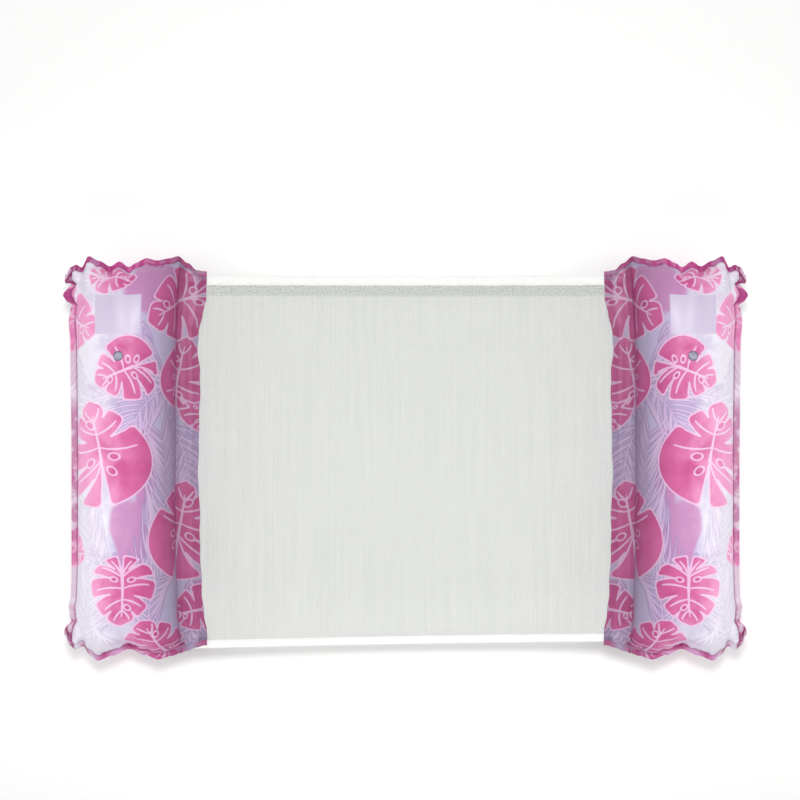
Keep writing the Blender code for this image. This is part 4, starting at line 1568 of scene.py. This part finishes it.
@dataclass
class Pillow:
    """One pillow: its two printed films, the tape in its flange and its valve.

    Pairs with over in their name are the start and the run of a smooth rise.
    """

    side: Side
    form: PillowForm
    finishes: Finishes
    coarse: dict
    lip: float = 0.0004
    lip_cells: int = 3
    fill: float = 0.92
    valve_reach: float = 0.03
    valve_depth: float = 0.01
    ring_rise: float = 0.00035
    ring_outer_over: tuple = (0.0143, -0.0012)
    ring_inner_over: tuple = (0.0075, 0.0012)
    level_over: tuple = (0.010, 0.012)
    flange_weld_mm: float = 9.0
    lap_weld_mm: float = 28.0
    weld_fade_mm: float = 2.0
    # Painted shade in the welds' folds: waves across the end welds, stronger at the rear, and shares
    # along the outer weld
    fold_shade_waves: tuple = (0.55, 0.45, 6.1)
    rear_fold_shade: tuple = (1.3, 0.3)
    side_weld_shade: tuple = (0.34, 0.48, 0.75)
    side_shade_middle_mm: float = -40.0
    side_shade_middle_over: tuple = (150.0, -40.0)
    side_shade_corner_over: tuple = (250.0, 30.0)
    # Half width of the painted crease shade along the welds, and how much thinner it is at the ends and
    # at the inner weld
    crease_shade_half_mm: float = 1.8
    crease_shade_thinner_mm: tuple = (0.6, 1.0)
    strip_half: float = 0.00028
    strip_share: float = 0.995
    strip_rows: int = 161
    strip_columns: int = 7

    def make_film(self, layer: Layer) -> None:
        """One film: its outer face, its cut edge and the first of its inner face.

        Args:
            layer: Upper or lower film.
        """
        grid, film = self.form.surface(self.coarse[layer], layer)
        rows, columns = grid.shape[:2]
        points = grid.reshape(-1, 3).copy()
        points[:, 0] = self.side.value * (self.form.plan.spine_x - points[:, 0])
        place = film.reshape(-1, 2)
        rim = grid_rim(rows, columns)
        cells, count = self.lip_cells, len(points)
        row = np.clip(rim // columns, cells, rows - 1 - cells)
        column = np.clip(rim % columns, cells, columns - 1 - cells)
        inward = row * columns + column
        drop = np.array([0.0, 0.0, layer.value * self.lip])
        points = np.concatenate([points, points[rim] - drop, points[inward] - drop])
        place = np.concatenate([place, place[rim], place[inward]])
        faces = [grid_quads(rows, columns)]
        edges = [rim, count + np.arange(len(rim)), count + len(rim) + np.arange(len(rim))]
        for near, far in zip(edges, edges[1:]):
            faces.append(np.stack([near, far, np.roll(far, -1), np.roll(near, -1)], 1))
        faces = np.concatenate(faces)
        if layer is Layer.UPPER:
            points, faces = self.cut_valve_hole(points, faces)
        if (self.side is Side.LEFT) != (layer is Layer.UPPER):
            faces = faces[:, ::-1]
        name = f"{self.side.word}_{layer.word}_skin"
        piece = mesh_piece(name, points, faces, self.finishes.film, 50.0)
        self.dress(piece, place, layer)
        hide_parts(f"{self.side.word}_{layer.word}_film")
        self.form.plan.bend(piece, self.side)
        log.info("%s: %d faces", name, len(faces))

    def cut_valve_hole(self, points: np.ndarray, faces: np.ndarray) -> tuple[np.ndarray, np.ndarray]:
        """Cut a clean round hole for the valve, and raise the weld of its base ring round it.

        Args:
            points: The film's vertices.
            faces: Its quads.

        Returns:
            The vertices and the quads that are left.
        """
        valve = AirValve(self.side, self.finishes)
        place = np.array(valve.frame_matrix())
        origin, normal = place[:3, 3], place[:3, 2]
        away = points - origin
        height = away @ normal
        flat = away - height[:, None] * normal
        radius = np.linalg.norm(flat, axis=1)
        near = (radius < self.valve_reach) & (np.abs(height) < self.valve_depth)
        ring = smooth_rise(radius, *self.ring_outer_over) * smooth_rise(radius, *self.ring_inner_over)
        level = height * smooth_rise(radius, *self.level_over) + self.ring_rise * ring
        points = np.where(near[:, None], origin + flat + level[:, None] * normal, points)
        inside = (radius < valve.hole_radius) & near
        gone = inside[faces].any(axis=1)
        edge = np.intersect1d(faces[gone].ravel(), faces[~gone].ravel())
        share = valve.hole_radius / radius[edge]
        points[edge] = origin + flat[edge] * share[:, None] + level[edge][:, None] * normal
        return points, faces[~gone]

    def dress(self, piece: bpy.types.Object, place: np.ndarray, layer: Layer) -> None:
        """Store the print, the welds' emboss and the painted shade of the welds' folds and crease on a
        film.

        Args:
            piece: The film.
            place: Film millimetres of each vertex.
            layer: Upper or lower film.
        """
        form = self.form
        seen = place if layer is Layer.UPPER else place * np.array([1.0, -1.0])
        across, along = place.T
        over_end = np.abs(along) - form.length / MM / 2
        over_outer = -form.width / MM / 2 - across
        over_inner = across - form.width / MM / 2
        weld = np.clip(np.maximum(over_end, over_outer), 0, 1)
        inner = np.clip((self.flange_weld_mm - over_inner) / self.weld_fade_mm, 0, 1)
        lapped = np.clip((over_inner - self.lap_weld_mm) / self.weld_fade_mm, 0, 1)
        # Painted shade in the folds of the end welds, stronger at the rear, and along the outer weld
        level, depth, run = self.fold_shade_waves
        folds = level + depth * np.sin(across / run + 1.0)
        at_end = np.where(along > 0, self.rear_fold_shade[0] + self.rear_fold_shade[1] * folds, folds)
        middle = smooth_rise(np.abs(along - self.side_shade_middle_mm), *self.side_shade_middle_over)
        corner = smooth_rise(np.abs(along), *self.side_shade_corner_over)
        everywhere, in_middle, in_corner = self.side_weld_shade
        at_side = everywhere + in_middle * middle + in_corner * corner
        weld_shades = at_end * np.clip(over_end + 1.0, 0, 1), at_side * np.clip(over_outer + 1.0, 0, 1)
        # Distance to the crease along the welds, where shade is painted
        at_end_seam, at_inner_seam = self.crease_shade_thinner_mm
        beside = np.minimum(0.5 * np.abs(over_outer), np.abs(over_inner) + at_inner_seam)
        seam = np.minimum(np.abs(over_end) + at_end_seam, beside)
        fields = TropicalPrint(form.film_place).paint(seen)
        fields["film_mm"] = np.column_stack([place, np.zeros(len(place))])
        fields["weld_mask"] = np.clip(weld + np.clip(over_inner, 0, 1) * inner + lapped, 0, 1)
        fields["weld_fold_shade"] = np.maximum(*weld_shades)
        fields["weld_crease_shade"] = np.clip(self.crease_shade_half_mm - seam, 0, 1)
        for name, values in fields.items():
            set_field(piece, name, values)

    def make_edge_strip(self) -> None:
        """The tape that edges the mesh, a thin strip held between the flanges."""
        plan = self.form.plan
        node = f"{self.side.word}_edge_tape"
        low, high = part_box(node)
        y = np.linspace(low.y, high.y, self.strip_rows)
        middle, half = (low.x + high.x) / 2, (high.x - low.x) / 2
        shares = np.linspace(-1.0, 1.0, self.strip_columns)
        lines = []
        for up in (1, -1):
            for share in shares[::up]:
                rise = up * self.strip_half * (1 - 0.5 * abs(share) ** 6)
                x = middle + half * share * self.strip_share
                lines.append(np.stack(np.broadcast_arrays(x, y, plan.seam_z + rise), 1))
        points = np.concatenate(lines)
        index = np.arange(len(points)).reshape(len(lines), -1)
        faces = [*tube_quads(index), index[:, 0], index[::-1, -1]]
        piece = mesh_piece(f"{self.side.word}_edge_strip", points, faces, self.finishes.tape, 40.0)
        set_field(piece, "cloth_mm", points / MM)
        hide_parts(node)
        plan.bend(piece, self.side)

    def build(self) -> None:
        """Make the pillow's films, strip and valve."""
        for layer in Layer:
            self.make_film(layer)
        self.make_edge_strip()
        AirValve(self.side, self.finishes).build()
        log.info("%s pillow done", self.side.word)


# Seat


@dataclass
class MeshSeat:
    """The mesh seat in two halves that meet unseen at its middle, with its tapes and stitches.

    Pairs with over in their name are the start and the run of a smooth rise.
    """

    plan: FloatPlan
    finishes: Finishes
    mesh: float = 0.0008
    hem: float = 0.034
    hem_seen: float = 0.033
    hem_fade_mm: float = 6.0
    hem_gap: float = 0.0004
    hem_fold: float = 0.0006
    lap_x: float = 0.3735
    tape_wide: float = 0.014
    rear_tape_wider: float = 0.0025
    tape_thick: float = 0.0005
    tape_slack: float = 0.0003
    tape_thinned: float = 0.0001
    tape_short: float = 0.002
    tape_columns: int = 95
    tape_wave: float = 0.00022
    tape_wave_run: float = 0.0115
    tape_wave_from: float = 0.012
    cell: float = 0.004
    pull: float = 0.00045
    drift: float = 0.0007
    pull_over: tuple = (0.16, 0.18)
    calm_over: tuple = (0.365, -0.02)
    calm_edge_over: tuple = (0.008, 0.02)
    stitch_pitch: float = 0.0036
    stitch_short: float = 0.012
    stitch_inset: float = 0.0025
    stitch_half: float = 0.0013
    thread_half: float = 0.00028
    thread_ends: tuple = ((-1.0, 0.35), (-0.6, 1.0), (0.6, 1.0), (1.0, 0.35))
    thread_corners: int = 6

    @property
    def rear_edge(self) -> float:
        """Where the mesh turns under at the rear."""
        return self.plan.seat_shift + self.plan.seat_half - self.tape_thick - self.hem_gap

    def ripple(self, x: np.ndarray, y: np.ndarray) -> np.ndarray:
        """Faint tension ripples of the stretched mesh."""
        near_flange = smooth_rise(np.abs(x), *self.pull_over)
        pull = np.sin(y / 0.0105 + 2.0 * np.sin(y / 0.047)) * near_flange
        drift = np.sin(x / 0.07 + y / 0.05) + np.sin(y / 0.09 - x / 0.05)
        from_edge = self.plan.seat_half - np.abs(y - self.plan.seat_shift)
        calm, calm_run = self.calm_edge_over
        inside = smooth_rise(np.abs(x), *self.calm_over)
        inside = inside * smooth_rise(from_edge, self.tape_wide + calm, calm_run)
        return (self.pull * pull + self.drift * drift) * inside

    def row_path(self) -> list[tuple[float, float, float]]:
        """The mesh's rows from its front edge to the turned hem: share of the run, shift and drop."""
        fold = self.hem_fold
        count = int(round(2 * self.plan.seat_half / self.cell))
        path = [(share, 0.0, 0.0) for share in np.linspace(0.0, 1.0, count)[:-1]]
        for turn in np.linspace(0.0, math.pi, 7):
            path.append((1.0, fold * (math.sin(turn) - 1.0), fold * (1 - math.cos(turn))))
        for step in np.linspace(0.0, self.hem, 9)[1:]:
            path.append((1.0, -fold - step, 2 * fold))
        return path

    def piece(
        self, name: str, side: Side, points: np.ndarray, faces: Sequence,
        finish: bpy.types.Material, sharp_degrees: float, fields: dict[str, np.ndarray],
    ) -> bpy.types.Object:
        """Make half of a piece of the seat and bake its placement into its points.

        Args:
            name: Piece name.
            side: The pillow that it joins.
            points: Its points, in metres.
            faces: Vertex indices of each face, as they are seen from above on the right side.
            finish: Its material.
            sharp_degrees: Edges that turn more than this stay sharp.
            fields: What the mesh stores for its material, by name.

        Returns:
            The piece.
        """
        if side is Side.LEFT:
            faces = [face[::-1] for face in faces]
        made = mesh_piece(name, points, faces, finish, sharp_degrees)
        for field_name, values in fields.items():
            set_field(made, field_name, values)
        self.plan.bend(made, side)
        return made

    def make_half(self, side: Side) -> bpy.types.Object:
        """Half of the mesh, lapped into one pillow's flange.

        Args:
            side: The pillow that it joins.

        Returns:
            The half sheet.
        """
        x = side.value * np.linspace(0.0, self.lap_x, int(round(self.lap_x / self.cell)) + 1)
        front = self.plan.front_edge(x) + self.tape_thick + self.hem_gap
        rows = []
        for share, shift, drop in self.row_path():
            y = front + (self.rear_edge - front) * share + shift
            level = self.plan.seat_height(x, y) + self.ripple(x, y)
            rows.append(np.stack([x, y, level - drop], 1))
        steps = [math.dist(row[0], before[0]) for before, row in zip(rows, rows[1:])]
        points = np.concatenate(rows)
        inwards = (self.rear_edge - points[:, 1]) / MM
        seen_to = self.hem_seen / MM + self.hem_fade_mm / 2
        fields = {
            "cloth_mm": self.cloth_mm(points, [0.0, *steps]),
            # Where the painted shade of the doubled hem lies
            "turned_hem_shade": smooth_rise(inwards, seen_to, -self.hem_fade_mm),
        }
        faces = grid_quads(len(rows), len(x))
        name = f"seat_mesh_{side.word}_half"
        return self.piece(name, side, points, faces, self.finishes.mesh, 80.0, fields)

    def cloth_mm(self, points: np.ndarray, steps: Sequence[float]) -> np.ndarray:
        """Where each point lies on the flat cloth, in mm, from the steps between its rows."""
        run = np.repeat(np.cumsum(steps), len(points) // len(steps))
        return np.column_stack([points[:, 0], run, np.zeros(len(points))]) / MM

    def tape_width(self, hem: Hem) -> float:
        """How far a tape reaches in from the seat's edge."""
        return self.tape_wide + self.rear_tape_wider * (hem is Hem.REAR)

    def tape_section(self, hem: Hem) -> np.ndarray:
        """Closed section of a folded tape: rows of distance from the seat's edge, and height."""
        wide = self.tape_width(hem)
        layers = 2 if hem is Hem.REAR else 1
        half_stack = (layers * self.mesh + (layers - 1) * self.tape_slack) / 2 + self.tape_slack
        outer = half_stack + self.tape_thick
        section = [(wide, outer - self.tape_thinned), (wide * 0.66, outer), (wide * 0.33, outer)]
        for turn in np.linspace(0.0, math.pi, 11):
            section.append((outer - outer * math.sin(turn), outer * math.cos(turn)))
        section += [(wide * share, -outer) for share in (0.33, 0.66, 1.0)]
        section += [(wide * share, -half_stack) for share in (1.0, 0.5)]
        for turn in np.linspace(math.pi, 0.0, 7):
            section.append((outer - half_stack * math.sin(turn), half_stack * math.cos(turn)))
        section += [(wide * share, half_stack) for share in (0.5, 1.0)]
        return np.array(section) - [0.0, (layers - 1) * self.hem_fold]

    def edge_y(self, hem: Hem, x: np.ndarray) -> np.ndarray:
        """Where the seat's outer edge lies, front or rear."""
        if hem is Hem.FRONT:
            return self.plan.front_edge(x)
        return np.full(x.shape, self.plan.seat_shift + self.plan.seat_half)

    def make_tape(self, side: Side, hem: Hem) -> bpy.types.Object:
        """Half of a binding tape, folded over the seat's front or rear edge.

        Args:
            side: The pillow that it runs into.
            hem: Front or rear.

        Returns:
            The tape's half.
        """
        away = np.linspace(0.0, self.lap_x - self.tape_short, self.tape_columns)
        x = side.value * away
        depth, height = self.tape_section(hem).T[:, :, None]
        wave = self.tape_wave * np.sin(away / self.tape_wave_run + hem.value)
        wave = wave * (depth > self.tape_wave_from)
        y = self.edge_y(hem, x) - hem.value * (depth + wave)
        level = self.plan.seat_height(x, y) + height
        points = np.stack(np.broadcast_arrays(x, y, level), axis=-1).reshape(-1, 3)
        index = np.arange(len(points)).reshape(len(depth), -1)
        faces = [*tube_quads(index), index[:, -1]]
        if hem is Hem.REAR:
            faces = [face[::-1] for face in faces]
        name = f"{hem.word}_tape_{side.word}_half"
        steps = np.hypot(np.diff(depth[:, 0]), np.diff(height[:, 0]))
        fields = {"cloth_mm": self.cloth_mm(points, [0.0, *steps])}
        return self.piece(name, side, points, faces, self.finishes.tape, 50.0, fields)

    def make_stitches(self, side: Side, hem: Hem) -> bpy.types.Object:
        """The row of lockstitches that holds a tape, above and below.

        Args:
            side: The pillow that the row runs towards.
            hem: Front or rear.

        Returns:
            The stitches as one piece.
        """
        count = int((self.lap_x - self.stitch_short) / self.stitch_pitch)
        middles = (np.arange(count) + 0.5) * self.stitch_pitch
        ends, sizes = np.array(self.thread_ends).T
        x = side.value * (middles[:, None] + ends * self.stitch_half)
        y = self.edge_y(hem, x) - hem.value * (self.tape_width(hem) - self.stitch_inset)
        heights = self.tape_section(hem)[:, 1]
        z = self.plan.seat_height(x, y)[:, None] + np.array([[heights.max()], [heights.min()]])
        turn = 2 * math.pi * np.arange(self.thread_corners) / self.thread_corners
        radius = self.thread_half * sizes[:, None]
        rings = np.broadcast_arrays(
            x[:, None, :, None], y[:, None, :, None] + radius * np.cos(turn),
            z[..., None] + radius * np.sin(turn),
        )
        points = np.stack(rings, axis=-1).reshape(-1, 3)
        block = np.arange(radius.size * len(turn)).reshape(len(ends), -1)
        stitch = [*tube_quads(block.T)[:, [0, 3, 2, 1]], block[0, ::-1], block[-1]]
        faces = [face + base for base in range(0, len(points), block.size) for face in stitch]
        name = f"{hem.word}_stitches_{side.word}_half"
        return self.piece(name, side, points, faces, self.finishes.thread, 60.0, {})

    def build(self) -> None:
        """Make the seat's mesh, tapes and stitches."""
        for side in Side:
            sheet = self.make_half(side)
            goes_with = []
            for hem in Hem:
                tape, stitches = self.make_tape(side, hem), self.make_stitches(side, hem)
                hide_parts(f"{hem.word}_hem_tape")
                goes_with += [tape, stitches]
            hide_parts("mesh_seat_panel")
            log.info("%s half of the seat: mesh, tapes and stitches", side.word)


# Studio


@dataclass
class Studio:
    """The white paper, the lamps and the camera."""

    camera_at: tuple = (-0.0095, 0.101, 4.07)
    field_width: float = 1.386
    object_z: float = 0.07
    world_strength: float = 0.26
    side_power: float = 1.35
    side_at: tuple = (1.15, -0.08, 0.47)
    side_aim: tuple = (0.62, -0.08, 0.0)
    side_size: tuple = (0.9, 1.5)
    side_spread: float = 70.0
    rear_power: float = 89.0
    rear_at: tuple = (0.0, 1.25, 4.2)
    rear_size: tuple = (1.0, 1.0)
    front_power: float = 25.0
    front_at: tuple = (0.0, -2.8, 1.8)
    front_size: tuple = (2.0, 1.0)
    aim: tuple = (0.0, 0.0, 0.05)
    paper_half: float = 4.0
    paper_flat_y: tuple = (-2.0, 2.5)
    paper_sweep: float = 1.2
    paper_top: float = 3.0
    paper_below: float = 0.0002

    def make_paper(self) -> None:
        """A broad sheet of paper with a curved sweep far behind the float."""
        rear, rise = self.paper_flat_y[1], self.paper_sweep
        line = [(-self.paper_half, 0.0)]
        line += [(y, 0.0) for y in np.linspace(*self.paper_flat_y, 10)]
        for turn in np.linspace(0.0, math.pi / 2, 13)[1:]:
            line.append((rear + rise * math.sin(turn), rise * (1 - math.cos(turn))))
        line.append((rear + rise, self.paper_top))
        columns = np.linspace(-self.paper_half, self.paper_half, 9)
        points = np.array([(x, y, z - self.paper_below) for y, z in line for x in columns])
        faces = grid_quads(len(line), len(columns))
        paper = mesh_piece("studio_paper", points, faces, StudioPaper().material(), 60.0)

    def add_lamp(
        self, name: str, at: tuple, power: float, size: tuple, aim: tuple, spread: float = 180.0
    ) -> None:
        """Hang a soft area lamp that faces a point.

        Args:
            name: Lamp name.
            at: Where it hangs.
            power: Its power in watts.
            size: Its two sides.
            aim: The point that it faces.
            spread: Angle of its cone of light, in degrees.
        """
        data = bpy.data.lights.new(name, "AREA")
        data.shape = "RECTANGLE"
        data.size, data.size_y = size
        data.energy = power
        data.spread = math.radians(spread)
        lamp = bpy.data.objects.new(name, data)
        bpy.context.scene.collection.objects.link(lamp)
        lamp.location = at
        lamp.rotation_euler = (Vector(aim) - Vector(at)).to_track_quat("-Z", "Y").to_euler()

    def build(self) -> None:
        """Set up the paper, the world, the lamps and the camera."""
        self.make_paper()
        scene = bpy.context.scene
        scene.view_settings.view_transform = "Standard"
        world = bpy.data.worlds.new("studio_world")
        world.use_nodes = True
        sky = world.node_tree.nodes["Background"]
        sky.inputs["Color"].default_value = (1.0, 1.0, 1.0, 1.0)
        sky.inputs["Strength"].default_value = self.world_strength
        scene.world = world
        for side in Side:
            at, aim = ((side.value * place[0], *place[1:]) for place in (self.side_at, self.side_aim))
            name = f"{side.word}_lamp"
            self.add_lamp(name, at, self.side_power, self.side_size, aim, self.side_spread)
        self.add_lamp("rear_lamp", self.rear_at, self.rear_power, self.rear_size, self.aim)
        self.add_lamp("front_lamp", self.front_at, self.front_power, self.front_size, self.aim)
        data = bpy.data.cameras.new("photo_camera")
        data.angle = 2 * math.atan(self.field_width / 2 / (self.camera_at[2] - self.object_z))
        camera = bpy.data.objects.new("photo_camera", data)
        scene.collection.objects.link(camera)
        camera.location = self.camera_at
        scene.camera = camera
        log.info("studio: paper, four lamps, camera")


def main() -> None:
    """Build the float round its frame, piece by piece."""
    logging.basicConfig(level=logging.INFO, format="%(message)s")
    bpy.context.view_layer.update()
    Studio().build()
    finishes = Finishes.make()
    plan = FloatPlan()
    form = PillowForm(plan)
    coarse = form.settled()
    for side in Side:
        Pillow(side, form, finishes, coarse).build()
    MeshSeat(plan, finishes).build()


if __name__ == "__main__":
    main()
